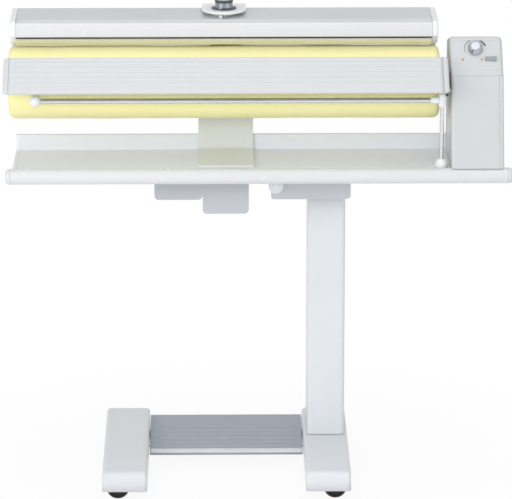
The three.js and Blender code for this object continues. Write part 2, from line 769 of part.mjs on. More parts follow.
function rollerDrive() {
  const axleEnd = framePlateLeftX + framePlateThickness + overrun;
  const axle = rod('x', axleRadius, -rollerEndX + rollerEndRadius, axleEnd,
    [0, rollerAxisY, rollerAxisZ], 28);
  const plateFrontY = motorY - motorRadius - overrun;
  const plateRearY = rollerAxisY + rollerPulleyRadius;
  const plateTopZ = rollerAxisZ + axleRadius * 2;
  const plate = prism('x', outline([
    [plateFrontY, trayTopZ + fit],
    [plateRearY, trayTopZ + fit],
    [plateRearY, rollerAxisZ, axleRadius],
    [rollerAxisY + axleRadius, plateTopZ, axleRadius],
    [rollerAxisY - axleRadius * 2, plateTopZ, axleRadius],
    [plateFrontY, motorZ + motorRadius, axleRadius],
  ]), framePlateLeftX, framePlateLeftX + framePlateThickness)
    .subtract(rod('x', axleRadius + fit, framePlateLeftX - overrun, axleEnd,
      [0, rollerAxisY, rollerAxisZ], 28))
    .subtract(rod('x', motorShaftRadius * 2 + fit, framePlateLeftX - overrun, axleEnd, [0, motorY, motorZ]));
  const motorLeftX = framePlateLeftX + framePlateThickness + fit;
  const motorRightX = housingRightX - sideCoverDepth - housingWall;
  const motor = rod('x', motorRadius, motorLeftX, motorRightX, [0, motorY, motorZ], 32)
    .add(rod('x', motorShaftRadius, pulleyLeftX - motorShaftRadius / 2, motorLeftX + overrun, [0, motorY, motorZ]));
  const motorPulley = turned('x', [
    [motorShaftRadius + fit, pulleyLeftX],
    ...pulleyRim(motorPulleyRadius),
    [motorShaftRadius + fit, pulleyLeftX + pulleyWidth],
    [motorShaftRadius + fit, pulleyLeftX],
  ], [0, motorY, motorZ], 20);
  return [
    mesh('roller_axle', axle, paint.steel()),
    mesh('side_frame', plate, paint.steel()),
    mesh('gear_motor', motor, paint.dark()),
    mesh('motor_pulley', motorPulley, paint.dark()),
    mesh('drive_belt', beltForm(), paint.black()),
  ];
}

// Housing shell, side cover and the sloping control cap.
const housingUnderZ = tubeZ + tubeRadius + fit;
const housingFrontLowY = -160;
const housingFrontHighY = -105;
const housingSeamZ = 830;
const housingRearY = 35;
const housingEdgeRadius = 6;
const sideCoverDepth = 8;
const ridgeY = -43;
const ridgeZ = 893;
const capRearZ = 872;
const capEdgeRadius = 5;
const capRidgeRadius = 12;
const panelSlope = Math.atan2(ridgeZ - housingSeamZ, ridgeY - housingFrontHighY);
const panelInsetDepth = 0.8;
const panelInsetLeftMargin = 2;
const panelInsetRightMargin = 7;
const panelInsetLeftX = housingLeftX + panelInsetLeftMargin;
const panelInsetRightX = housingRightX - panelInsetRightMargin;
const panelInsetLow = 11;
const panelInsetHigh = 80;
const speedKnobInset = 48;
const speedKnobX = housingLeftX + speedKnobInset;
const speedKnobAlong = 61;
const speedKnobRadius = 15;
const speedKnobHeight = 12;
const speedSpindleRadius = 3.5;
const lampRadius = 1.7;
const lampAlong = 37;
const powerLampInset = 23.5;
const readyLampInset = 59.5;
const powerSwitchInset = 77;
const powerLampX = housingLeftX + powerLampInset;
const readyLampX = housingLeftX + readyLampInset;
const powerSwitchX = housingLeftX + powerSwitchInset;
const powerSwitchAlong = 38;
const powerSwitchLength = 22;
const powerSwitchWidth = 9;
const powerSwitchClearance = 0.8;
const powerSwitchTilt = 6 * Math.PI / 180;
const powerSwitchPivotDepth = 3;

// Places a piece made about its own origin on the sloping panel: x across, along the slope, out of it.
function onPanel(x, along, out) {
  const y = housingFrontHighY + Math.cos(panelSlope) * along - Math.sin(panelSlope) * out;
  const z = housingSeamZ + Math.sin(panelSlope) * along + Math.cos(panelSlope) * out;
  return new THREE.Matrix4()
    .makeRotationX(panelSlope)
    .setPosition(x, y, z);
}

function placed(solid, matrix) {
  return solidOf(geometryOf(solid).applyMatrix4(matrix));
}

function housingPieces() {
  const shellRightX = housingRightX - sideCoverDepth - fit;
  const lean = (housingFrontHighY - housingFrontLowY) / (housingSeamZ - housingUnderZ);
  const side = (inset, bottomInset) => outline([
    [housingFrontLowY + inset + lean * bottomInset, housingUnderZ + bottomInset],
    [housingRearY - inset, housingUnderZ + bottomInset],
    [housingRearY - inset, housingSeamZ - fit + inset * 2],
    [housingFrontHighY + inset + lean * (inset * 2 - fit), housingSeamZ - fit + inset * 2],
  ]);
  const hinge = [0, boardHingeY, boardHingeZ];
  const sleeveHole = rod('x', driveSleeveRadius + hubThickness / 2, housingLeftX - overrun,
    housingLeftX + housingWall + overrun, [0, rollerAxisY, rollerAxisZ], 32);
  const shell = prism('x', side(0, 0), housingLeftX, shellRightX)
    .subtract(prism('x', side(housingWall, -overrun), housingLeftX + housingWall, housingRightX))
    .subtract(sleeveHole)
    .subtract(rod('x', boardPinRadius + fit, housingLeftX - overrun, housingLeftX + housingWall + overrun,
      hinge, 20));
  const coverBlank = prism('x', side(0, 0), housingRightX - sideCoverDepth, housingRightX);
  const across = outline([
    [housingFrontLowY - overrun, housingRightX - sideCoverDepth],
    [housingRearY + overrun, housingRightX - sideCoverDepth],
    [housingRearY + overrun, housingRightX],
    [housingFrontLowY - overrun, housingRightX],
  ]);
  const sideCover = coverBlank.intersect(
    prism('z', across.map((p) => new THREE.Vector2(p.y, p.x)).reverse(), housingUnderZ, housingSeamZ));

  const capSide = (inset, lower) => outline([
    [housingFrontHighY + inset, housingSeamZ + lower],
    [housingRearY - inset, housingSeamZ + lower],
    [housingRearY - inset, capRearZ - inset, capEdgeRadius],
    [ridgeY, ridgeZ - inset * 3 / 2, capRidgeRadius - inset],
  ], 6);
  const ends = (inset) => outline([
    [housingLeftX + inset, housingSeamZ - overrun],
    [housingRightX - inset, housingSeamZ - overrun],
    [housingRightX - inset, ridgeZ, capEdgeRadius + housingEdgeRadius],
    [housingLeftX + inset, ridgeZ, capEdgeRadius],
  ]);
  const cut = (along, x, reach, radius) => placed(
    rod('z', radius, -reach, reach, [0, 0, 0], 20), onPanel(x, along, 0));
  const insetTool = placed(box(panelInsetLeftX, panelInsetRightX, panelInsetLow, panelInsetHigh,
    -panelInsetDepth, overrun), onPanel(0, 0, 0));
  const switchHalfLength = powerSwitchLength / 2 + powerSwitchClearance;
  const switchTool = placed(box(-switchHalfLength, switchHalfLength,
    -powerSwitchWidth / 2 - fit, powerSwitchWidth / 2 + fit, -overrun * 2, overrun),
  onPanel(powerSwitchX, powerSwitchAlong, 0));
  const cap = prism('x', capSide(0, 0), housingLeftX, housingRightX)
    .intersect(prism('y', ends(0), housingFrontLowY, housingRearY + overrun))
    .subtract(prism('x', capSide(housingWall, -overrun), housingLeftX + housingWall,
      housingRightX - housingWall))
    .subtract(insetTool)
    .subtract(cut(speedKnobAlong, speedKnobX, overrun * 2, speedSpindleRadius + fit))
    .subtract(cut(lampAlong, powerLampX, overrun * 2, lampRadius + fit))
    .subtract(cut(lampAlong, readyLampX, overrun * 2, lampRadius + fit))
    .subtract(switchTool);

  const seat = -panelInsetDepth + fit;
  const knob = turned('z', [
    [0, -overrun - speedSpindleRadius],
    [speedSpindleRadius, -overrun - speedSpindleRadius],
    [speedSpindleRadius, seat],
    [speedKnobRadius, seat],
    [speedKnobRadius, seat + speedKnobHeight * 2 / 3],
    [speedKnobRadius * 5 / 6, speedKnobHeight],
    [0, speedKnobHeight],
  ], [0, 0, 0], 32);
  const lamp = () => turned('z', [
    [0, -housingWall],
    [lampRadius, -housingWall],
    [lampRadius, lampRadius / 2],
    [lampRadius / 2, lampRadius],
    [0, lampRadius],
  ], [0, 0, 0], 16);
  const rockerHalf = powerSwitchLength / 2;
  const rockerRise = powerSwitchPivotDepth + panelInsetDepth;
  const rocker = prism('y', outline([
    [-rockerHalf, -powerSwitchPivotDepth],
    [rockerHalf, -powerSwitchPivotDepth],
    [rockerHalf, rockerRise + panelInsetDepth],
    [0, rockerRise],
    [-rockerHalf, rockerRise + panelInsetDepth],
  ]), -powerSwitchWidth / 2, powerSwitchWidth / 2);
  const rockerTilt = new THREE.Matrix4().makeRotationY(-powerSwitchTilt);
  const at = (piece, x, along, out = 0) => {
    piece.applyMatrix4(onPanel(x, along, out));
    return piece;
  };
  return [
    mesh('housing_shell', shell, paint.grey()),
    mesh('housing_side_cover', sideCover, paint.grey()),
    mesh('control_cap', cap, paint.grey()),
    at(mesh('speed_knob', knob, paint.steel()), speedKnobX, speedKnobAlong),
    at(mesh('power_lamp', lamp(), paint.orange()), powerLampX, lampAlong),
    at(mesh('ready_lamp', lamp(), paint.orange()), readyLampX, lampAlong),
    at(mesh('power_switch', placed(rocker, rockerTilt), paint.grey()), powerSwitchX, powerSwitchAlong,
      -powerSwitchPivotDepth),
  ];
}

// Heater: a curved shoe under a cover that presses on the roller from above and behind.
const shoeThickness = 10;
const shoeGap = 1;
const shoeFrontAngle = 12 * Math.PI / 180;
const shoeRearAngle = 56 * Math.PI / 180;
const heaterEndShortfall = 3;
const heaterLength = rollerLength - 2 * heaterEndShortfall;
const coverFrontY = -54;
const coverRearY = 51;
const coverWall = 2.5;
const coverFrontRise = 27;
const coverRearRise = 32;
const coverHeight = 30;
const coverFall = 4.7;
const coverFrontUnderZ = rollerAxisZ + rollerRadius + coverFrontRise;
const coverRearUnderZ = rollerAxisZ + coverRearRise;
const coverTopZ = coverFrontUnderZ + coverHeight;
const coverFrontTopZ = coverTopZ - coverFall;
const coverEdgeRadius = 10;
const coverCapWidth = 11;
const guardThickness = 10;
const guardFrontY = -70;
const guardRise = 22;
const guardProud = 1.2;
const guardUnderZ = rollerAxisZ + rollerRadius + guardRise;
const guardTopZ = coverFrontTopZ + guardProud;
const dialX = 0;
const dialY = -5;
const dialRadius = 17.5;
const dialHeight = 26;
const dialTopZ = coverTopZ + dialHeight;
const dialBaseHeight = 8;
const dialBaseRadius = 42;
const dialBaseRearY = 30;
const dialSpindleRadius = 3;

// The centre that the shoe is curved about lies back from the roller's axis by the press swing.
function shoeCentre() {
  const dy = rollerAxisY - armPivotY;
  const dz = rollerAxisZ - armPivotZ;
  return [
    armPivotY + dy * Math.cos(pressAngle) + dz * Math.sin(pressAngle),
    armPivotZ - dy * Math.sin(pressAngle) + dz * Math.cos(pressAngle),
  ];
}

function heaterPieces() {
  const half = heaterLength / 2;
  const [cy, cz] = shoeCentre();
  const inner = rollerRadius + shoeGap;
  const outer = inner + shoeThickness;
  const steps = 12;
  const arc = (radius, from, to) => {
    const points = [];
    for (let k = 0; k <= steps; k += 1) {
      const a = from + (to - from) * k / steps;
      points.push(new THREE.Vector2(cy + radius * Math.sin(a), cz + radius * Math.cos(a)));
    }
    return points;
  };
  const capInner = half - coverCapWidth - fit;
  const shoe = prism('x', [
    ...arc(inner, -shoeFrontAngle, shoeRearAngle),
    ...arc(outer, shoeRearAngle, -shoeFrontAngle),
  ], -capInner + fit, capInner - fit);

  const coverSide = (inset, open) => outline([
    [coverFrontY + inset, coverFrontUnderZ - open],
    [coverRearY - inset - coverWall * 4, coverFrontUnderZ - open],
    [coverRearY - inset - coverWall * 4, coverRearUnderZ - open],
    [coverRearY - inset, coverRearUnderZ - open],
    [coverRearY - inset, coverTopZ - inset, coverEdgeRadius - inset],
    [coverFrontY + inset, coverFrontTopZ - inset, coverEdgeRadius / 2],
  ], 6);
  const insideCover = outline([
    [coverFrontY + coverWall, coverRearUnderZ - overrun],
    [coverRearY - coverWall, coverRearUnderZ - overrun],
    [coverRearY - coverWall, coverTopZ - coverWall, coverEdgeRadius - coverWall],
    [coverFrontY + coverWall, coverFrontTopZ - coverWall, coverEdgeRadius / 2],
  ], 6);
  const spindleHole = rod('z', dialSpindleRadius + fit, coverFrontUnderZ, coverTopZ + overrun,
    [dialX, dialY, 0], 20);
  const cover = prism('x', coverSide(0, 0), -capInner, capInner)
    .subtract(prism('x', insideCover, -capInner - overrun, capInner + overrun))
    .subtract(spindleHole);

  const capOutline = outline([
    [guardFrontY, guardUnderZ, guardThickness / 2],
    [coverRearY, guardUnderZ],
    [coverRearY, coverTopZ, coverEdgeRadius],
    [guardFrontY, coverFrontTopZ, coverEdgeRadius],
  ], 6);
  const legOutline = outline([
    [rollerAxisY, coverRearUnderZ],
    [coverRearY, coverRearUnderZ],
    [coverRearY, guardUnderZ + overrun],
    [rollerAxisY, guardUnderZ + overrun],
  ]);
  const capBlank = (from, to) => prism('x', capOutline, from, to)
    .add(prism('x', legOutline, from, to))
    .subtract(rod('x', inner + shoeGap, from - overrun, to + overrun, [0, cy, cz], 40));

  const armUnderZ = cz + outer + fit;
  const armTop = outline([
    [armFrontY, armPivotZ],
    [armFrontY + armThickness, armPivotZ],
    [armFrontY + armThickness, armUnderZ + armThickness],
    [armReachY, armUnderZ + armThickness],
    [armReachY, armUnderZ],
    [armFrontY, armUnderZ],
  ]);
  const boss = rod('x', armBossRadius, armLeftX, armRightX, [0, armPivotY, armPivotZ], 24);
  const tailFrontY = pressMotorY + camRadius + camOffset + runningGap * 2;
  const tail = box((armLeftX + armRightX) / 2, armRightX, tailFrontY, armPivotY,
    armPivotZ - armTailThickness / 2, armPivotZ + armTailThickness / 2);
  const arm = prism('x', armTop, armLeftX, armRightX)
    .add(boss)
    .add(tail)
    .subtract(rod('x', armPinRadius + fit, armLeftX - overrun, armRightX + overrun,
      [0, armPivotY, armPivotZ], 20));

  const guardHalf = capInner;
  const guard = prism('x', outline([
    [guardFrontY, guardUnderZ, guardThickness / 2 - fit],
    [guardFrontY + guardThickness, guardUnderZ, guardThickness / 2 - fit],
    [guardFrontY + guardThickness, guardTopZ, guardThickness / 4],
    [guardFrontY, guardTopZ, guardThickness / 2 - fit],
  ], 5), -guardHalf, guardHalf);
  const guardPin = (side) => rod('x', guardPinRadius, side > 0 ? guardHalf - overrun : -guardHalf - guardPinReach,
    side > 0 ? guardHalf + guardPinReach : -guardHalf + overrun, [0, guardPinY, guardPinZ], 16);
  const pinHole = rod('x', guardPinRadius + fit, -guardHalf - guardPinReach - fit, guardHalf + guardPinReach + fit,
    [0, guardPinY, guardPinZ], 16);

  const bezel = prism('z', outline([
    [dialX - dialBaseRadius, dialBaseRearY, dialBaseHeight / 2],
    [dialX - dialBaseRadius, dialY],
    [dialX - dialBaseRadius * 3 / 5, dialY - dialBaseRadius, dialBaseRadius / 4],
    [dialX + dialBaseRadius * 3 / 5, dialY - dialBaseRadius, dialBaseRadius / 4],
    [dialX + dialBaseRadius, dialY],
    [dialX + dialBaseRadius, dialBaseRearY, dialBaseHeight / 2],
  ]), coverFrontTopZ, coverTopZ + dialBaseHeight)
    .subtract(prism('x', coverSide(-fit, 0), -capInner, capInner))
    .subtract(rod('z', dialSpindleRadius + fit, coverTopZ - overrun, coverTopZ + dialBaseHeight + overrun,
      [dialX, dialY, 0], 20));
  const dial = turned('z', [
    [0, coverTopZ - overrun],
    [dialSpindleRadius, coverTopZ - overrun],
    [dialSpindleRadius, coverTopZ + dialBaseHeight + fit],
    [dialRadius, coverTopZ + dialBaseHeight + fit],
    [dialRadius, dialTopZ - dialSpindleRadius / 2],
    [dialRadius - dialSpindleRadius / 2, dialTopZ],
    [0, dialTopZ],
  ], [dialX, dialY, 0], 36);
  return [
    mesh('heater_shoe', shoe, paint.steel()),
    mesh('heater_cover', cover, paint.grey()),
    mesh('heater_end_cap_left', capBlank(-half, -capInner - fit).subtract(pinHole), paint.white()),
    mesh('heater_end_cap_right', capBlank(capInner + fit, half).subtract(pinHole), paint.white()),
    mesh('heater_arm', arm, paint.dark()),
    mesh('finger_guard', guard.add(guardPin(-1)).add(guardPin(1)), paint.white()),
    mesh('dial_bezel', bezel, paint.white()),
    mesh('temperature_dial', dial, paint.grey()),
  ];
}

const guardPinRadius = 2;
const guardPinReach = 5;
const guardPinY = guardFrontY + guardThickness / 2;
const guardPinZ = guardTopZ - guardThickness / 2;

// Feed board: a ribbed panel on a hinge arm, swinging about a pin in the housing's side.
const boardThickness = 8;
const boardCapWidth = 10;
const boardRibCount = 5;
const boardRibPitch = 12.7;
const boardRibHeight = 1.2;
const boardRibWidth = 3;
const boardRibStart = 20;
const boardEdgeRadius = 3.8;
const boardHingeY = -104;
const boardHingeZ = 800;
const boardPinRadius = 4;
const hingeArmThickness = 5;
const hingeArmLeftX = boardRightX - hingeArmThickness;
const hingeRingRadius = 9;

function boardPieces() {
  const along = new THREE.Vector2(boardTopY - boardLowY, boardTopZ - boardLowZ);
  const length = along.length();
  along.normalize();
  const down = new THREE.Vector2(along.y, -along.x);
  const at = (s, t) => [boardLowY + along.x * s + down.x * t, boardLowZ + along.y * s + down.y * t];
  const ribs = [];
  for (let k = boardRibCount - 1; k >= 0; k -= 1) {
    const s = boardRibStart + k * boardRibPitch;
    ribs.push(at(s + boardRibWidth, 0), at(s + boardRibWidth * 2 / 3, -boardRibHeight));
    ribs.push(at(s + boardRibWidth / 3, -boardRibHeight), at(s, 0));
  }
  const section = (withRibs) => outline([
    [...at(0, boardThickness), boardEdgeRadius],
    [...at(length, boardThickness), boardEdgeRadius],
    [...at(length, 0), boardEdgeRadius],
    ...(withRibs ? ribs : []),
    [...at(0, 0), boardEdgeRadius],
  ]);
  const panel = prism('x', section(true), boardLeftX + boardCapWidth + fit, boardRightX - boardCapWidth - fit);
  const capAt = (from, to) => prism('x', section(false), from, to);
  const gap = boardThickness + fit;
  const arm = prism('x', outline([
    [boardHingeY - hingeRingRadius, boardHingeZ - hingeRingRadius, hingeRingRadius - fit],
    [boardHingeY + hingeRingRadius, boardHingeZ - hingeRingRadius, hingeRingRadius - fit],
    [boardHingeY + hingeRingRadius, boardHingeZ + hingeRingRadius, hingeRingRadius / 2],
    at(length * 3 / 4, gap),
    at(length / 5, gap),
  ]), hingeArmLeftX, hingeArmLeftX + hingeArmThickness)
    .subtract(rod('x', boardPinRadius + fit, hingeArmLeftX - overrun, housingLeftX, [0, boardHingeY, boardHingeZ], 20));
  const headX = hingeArmLeftX - fit;
  const pin = turned('x', [
    [0, headX - flangeThickness],
    [boardPinRadius * 3 / 2, headX - flangeThickness],
    [boardPinRadius * 3 / 2, headX],
    [boardPinRadius, headX],
    [boardPinRadius, housingLeftX + housingWall + overrun],
    [0, housingLeftX + housingWall + overrun],
  ], [0, boardHingeY, boardHingeZ], 20);
  return [
    mesh('board_panel', panel, paint.white()),
    mesh('board_end_cap_left', capAt(boardLeftX, boardLeftX + boardCapWidth), paint.white()),
    mesh('board_end_cap_right', capAt(boardRightX - boardCapWidth, boardRightX), paint.white()),
    mesh('board_hinge_arm', arm, paint.dark()),
    mesh('board_hinge_pin', pin, paint.steel()),
  ];
}

// Laundry rail: a post on the tray carries a tee that swivels, with a rod and an end ball.
const postHousingGap = 18;
const postX = housingLeftX - postHousingGap;
const postY = -128;
const postRadius = 4.25;
const postTopZ = 804;
const railZ = 788;
const railRadius = 5;
const railShortfall = 51;
const railReach = rollerLength - railShortfall;
const ballRadius = 11;
const teeRadius = 6.5;
const teeSleeveRadius = 6.5;
const teeSleeveLength = 22;
const teeHalfHeight = 12.5;
const domeRadius = 12.5;
const domeHeight = 16;
const domeSteps = 4;
const ballSteps = 9;

function railPieces() {
  const at = [postX, postY, 0];
  const domeBaseZ = trayTopZ + fit;
  const domeProfile = [[postRadius + fit, domeBaseZ], [domeRadius, domeBaseZ]];
  for (let k = 1; k <= domeSteps; k += 1) {
    const a = k / domeSteps * Math.PI / 2;
    domeProfile.push([
      Math.max(domeRadius * Math.cos(a), postRadius + fit + runningGap),
      domeBaseZ + domeHeight * Math.sin(a),
    ]);
  }
  domeProfile.push([postRadius + fit, domeBaseZ + domeHeight], [postRadius + fit, domeBaseZ]);
  const dome = turned('z', domeProfile, at, 24);
  const post = rod('z', postRadius, trayTopZ + fit, postTopZ, at, 20);
  const tee = rod('z', teeRadius, railZ - teeHalfHeight, railZ + teeHalfHeight, at, 28)
    .add(rod('x', teeSleeveRadius, postX - teeSleeveLength, postX, [0, postY, railZ], 28))
    .subtract(rod('z', postRadius + fit, railZ - teeHalfHeight - overrun, railZ + teeHalfHeight + overrun, at, 24))
    .subtract(rod('x', railRadius + fit, postX - teeSleeveLength - overrun, postX - teeRadius - fit,
      [0, postY, railZ], 24));
  const ballX = postX - railReach;
  const rail = rod('x', railRadius, ballX + ballRadius / 2, postX - teeRadius - runningGap - fit, [0, postY, railZ], 24);
  const ballProfile = [];
  for (let k = 0; k <= ballSteps; k += 1) {
    const a = k / ballSteps * Math.PI;
    ballProfile.push([k === 0 || k === ballSteps ? 0 : ballRadius * Math.sin(a), -ballRadius * Math.cos(a)]);
  }
  const ball = turned('x', ballProfile, [ballX, postY, railZ], 18)
    .subtract(rod('x', railRadius + fit, ballX + ballRadius / 2 - fit, ballX + ballRadius * 2, [0, postY, railZ], 24));
  return [
    mesh('post_foot', dome, paint.white()),
    mesh('rail_post', post, paint.chrome()),
    mesh('rail_tee', tee, paint.white()),
    mesh('rail_rod', rail, paint.chrome()),
    mesh('rail_ball', ball, paint.white()),
  ];
}

const machine = group(
  ...standPieces(),
  ...columnAndBracket(),
  ...trayPieces(),
  ...pressDrive(),
  ...rollerPieces(),
  ...rollerDrive(),
  ...housingPieces(),
  ...heaterPieces(),
  ...boardPieces(),
  ...railPieces(),
);
machine.position.x = -(boardLeftX + tubeRightX) / 2;

export default group(machine);
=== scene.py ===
import json
import math

import bpy
import numpy as np
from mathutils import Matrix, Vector


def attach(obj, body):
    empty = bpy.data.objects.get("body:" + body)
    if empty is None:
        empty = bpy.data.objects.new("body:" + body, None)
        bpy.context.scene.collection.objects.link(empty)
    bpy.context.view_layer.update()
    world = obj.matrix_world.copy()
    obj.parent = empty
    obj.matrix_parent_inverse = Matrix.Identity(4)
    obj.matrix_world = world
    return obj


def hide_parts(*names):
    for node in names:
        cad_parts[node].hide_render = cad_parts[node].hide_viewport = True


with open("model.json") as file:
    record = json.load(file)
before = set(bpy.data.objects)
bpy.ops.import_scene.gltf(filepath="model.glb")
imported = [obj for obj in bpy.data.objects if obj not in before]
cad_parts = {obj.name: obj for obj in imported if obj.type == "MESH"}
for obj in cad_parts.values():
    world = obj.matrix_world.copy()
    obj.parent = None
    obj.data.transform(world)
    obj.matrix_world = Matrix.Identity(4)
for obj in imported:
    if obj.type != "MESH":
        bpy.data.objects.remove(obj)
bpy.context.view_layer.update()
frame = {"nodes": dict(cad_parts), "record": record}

nodes = frame["nodes"]
middle = -65.0  # X of the roller's middle in the part's frame, mm
metre = 0.001  # metres in a millimetre
print("frame loaded:", len(nodes), "nodes")

cameraSettings = dict(
    place=(-0.0851, -6.5913, 2.2933),
    pitch=15.546, yaw=0.710,  # degrees down and to the right
    focalPixels=3500, imageWidth=512, sensorWidth=36, nearest=0.1, farthest=100,
)


def makeCamera(s):
    data = bpy.data.cameras.new("camera")
    data.sensor_width = s["sensorWidth"]
    data.lens = s["focalPixels"] * data.sensor_width / s["imageWidth"]
    data.clip_start = s["nearest"]
    data.clip_end = s["farthest"]
    camera = bpy.data.objects.new("camera", data)
    bpy.context.scene.collection.objects.link(camera)
    camera.location = s["place"]
    camera.rotation_euler = (math.pi / 2 - math.radians(s["pitch"]), 0, -math.radians(s["yaw"]))
    bpy.context.scene.camera = camera


makeCamera(cameraSettings)
bpy.context.scene.view_settings.view_transform = "Standard"


def newMaterial(name):
    material = bpy.data.materials.new(name)
    material.use_nodes = True
    tree = material.node_tree
    return material, tree, tree.nodes["Principled BSDF"]


def addNode(tree, kind, **inputs):
    node = tree.nodes.new(kind)
    for key, value in inputs.items():
        node.inputs[key].default_value = value
    return node


def objectPoints(tree, scale=(1, 1, 1), source="Object"):
    coordinates = tree.nodes.new("ShaderNodeTexCoord")
    mapping = addNode(tree, "ShaderNodeMapping", Scale=scale)
    tree.links.new(coordinates.outputs[source], mapping.inputs["Vector"])
    return mapping.outputs["Vector"]


def noise(tree, points, scale, detail=2.0, roughness=0.5):
    node = addNode(tree, "ShaderNodeTexNoise", Scale=scale, Detail=detail, Roughness=roughness)
    tree.links.new(points, node.inputs["Vector"])
    return node.outputs["Fac"]


# The base colour runs between two shares of one colour as the value passes the two stops.
def tinted(tree, shader, value, color, shares, stops=(0.3, 0.7)):
    node = tree.nodes.new("ShaderNodeValToRGB")
    tree.links.new(value, node.inputs["Fac"])
    for element, stop, share in zip(node.color_ramp.elements, stops, shares):
        element.position = stop
        element.color = (*[min(1.0, c * share) for c in color], 1)
    tree.links.new(node.outputs["Color"], shader.inputs["Base Color"])


# A value between start and end becomes one between low and high.
def span(tree, value, start, end, low=0.0, high=1.0, smooth=False):
    node = addNode(tree, "ShaderNodeMapRange", **{
        "From Min": start, "From Max": end, "To Min": low, "To Max": high,
    })
    if smooth:
        node.interpolation_type = "SMOOTHSTEP"
    tree.links.new(value, node.inputs["Value"])
    return node.outputs["Result"]


def joined(tree, operation, a, b):
    node = tree.nodes.new("ShaderNodeMath")
    node.operation = operation
    for socket, value in zip(node.inputs, (a, b)):
        if isinstance(value, (int, float)):
            socket.default_value = value
        else:
            tree.links.new(value, socket)
    return node.outputs["Value"]


def bumped(tree, shader, height, strength, distance):
    node = addNode(tree, "ShaderNodeBump", Strength=strength, Distance=distance)
    tree.links.new(height, node.inputs["Height"])
    tree.links.new(node.outputs["Normal"], shader.inputs["Normal"])


# The linear colour of an sRGB one given as 0 to 255.
def linear(*rgb):
    return tuple((c / 255 / 12.92) if c <= 10 else ((c / 255 + 0.055) / 1.055) ** 2.4 for c in rgb)


# Paint and moulded plastic: a colour that drifts a little over the piece, a fine grain in the
# surface and a gloss that changes slightly where it was handled.
grainedDefaults = dict(
    driftScale=4, drift=(0.97, 1.03), wearScale=22, wearDetail=4, wear=0.04, grainScale=900, grain=0.06,
    grainHeight=0.001, coat=0, coatRough=0.15,
)


def grainedFinish(name, settings):
    s = {**grainedDefaults, **settings}
    material, tree, shader = newMaterial(name)
    tinted(tree, shader, noise(tree, objectPoints(tree), s["driftScale"]), s["color"], s["drift"])
    worn = noise(tree, objectPoints(tree), s["wearScale"], s["wearDetail"])
    rough = span(tree, worn, 0, 1, s["rough"] - s["wear"], s["rough"] + s["wear"])
    tree.links.new(rough, shader.inputs["Roughness"])
    grain = noise(tree, objectPoints(tree), s["grainScale"])
    bumped(tree, shader, grain, s["grain"], s["grainHeight"])
    shader.inputs["Coat Weight"].default_value = s["coat"]
    shader.inputs["Coat Roughness"].default_value = s["coatRough"]
    return material


# Brushed or drawn metal: noise stretched along the drawing direction gives the fine lines; with a wide
# spread, as on the turned dial, the lines are painted reflections.
drawnDefaults = dict(
    lineScale=60, lineDetail=4, lineRoughness=0.6, spread=(0.9, 1.06), roughSpread=(-0.04, 0.06),
    lineBump=0.1, lineHeight=0.0003, metallic=1,
)


def drawnMetal(name, settings):
    s = {**drawnDefaults, **settings}
    material, tree, shader = newMaterial(name)
    points = objectPoints(tree, s["stretch"])
    lines = noise(tree, points, s["lineScale"], s["lineDetail"], s["lineRoughness"])
    tinted(tree, shader, lines, s["color"], s["spread"])
    low, high = s["roughSpread"]
    rough = span(tree, lines, 0, 1, s["rough"] + low, s["rough"] + high)
    tree.links.new(rough, shader.inputs["Roughness"])
    bumped(tree, shader, lines, s["lineBump"], s["lineHeight"])
    shader.inputs["Metallic"].default_value = s["metallic"]
    return material


# Woven cloth: over-and-under threads from two crossed waves on the piece's own UV map in metres.
wovenDefaults = dict(
    unevenness=0.6, weaveShare=0.35, driftShare=0.65, driftStretch=(0.4, 1, 1), driftScale=9, driftDetail=3,
    shares=(0.94, 1.02), stops=(0.2, 0.7), rough=0.95, specular=0.15, sheen=0.15, sheenRough=0.5,
    weaveBump=0.25, weaveHeight=0.0004,
)


def wovenCloth(name, settings):
    s = {**wovenDefaults, **settings}
    material, tree, shader = newMaterial(name)
    threads = []
    for direction in ("X", "Y"):
        wave = addNode(tree, "ShaderNodeTexWave", Scale=s["threads"], Distortion=s["unevenness"], Detail=1)
        wave.bands_direction = direction
        tree.links.new(objectPoints(tree, source="UV"), wave.inputs["Vector"])
        threads.append(wave.outputs["Fac"])
    weave = joined(tree, "MULTIPLY", threads[0], threads[1])
    broad = noise(tree, objectPoints(tree, s["driftStretch"]), s["driftScale"], s["driftDetail"])
    value = joined(tree, "ADD", joined(tree, "MULTIPLY", weave, s["weaveShare"]),
                   joined(tree, "MULTIPLY", broad, s["driftShare"]))
    tinted(tree, shader, value, s["color"], s["shares"], s["stops"])
    shader.inputs["Roughness"].default_value = s["rough"]
    shader.inputs["Specular IOR Level"].default_value = s["specular"]
    shader.inputs["Sheen Weight"].default_value = s["sheen"]
    shader.inputs["Sheen Roughness"].default_value = s["sheenRough"]
    bumped(tree, shader, weave, s["weaveBump"], s["weaveHeight"])
    return material


lensDefaults = dict(cloudScale=300, shares=(0.85, 1), rough=0.12, coat=0.5)


def lensFinish(name, settings):
    s = {**lensDefaults, **settings}
    material, tree, shader = newMaterial(name)
    tinted(tree, shader, noise(tree, objectPoints(tree), s["cloudScale"]), s["color"], s["shares"])
    shader.inputs["Roughness"].default_value = s["rough"]
    shader.inputs["Coat Weight"].default_value = s["coat"]
    return material
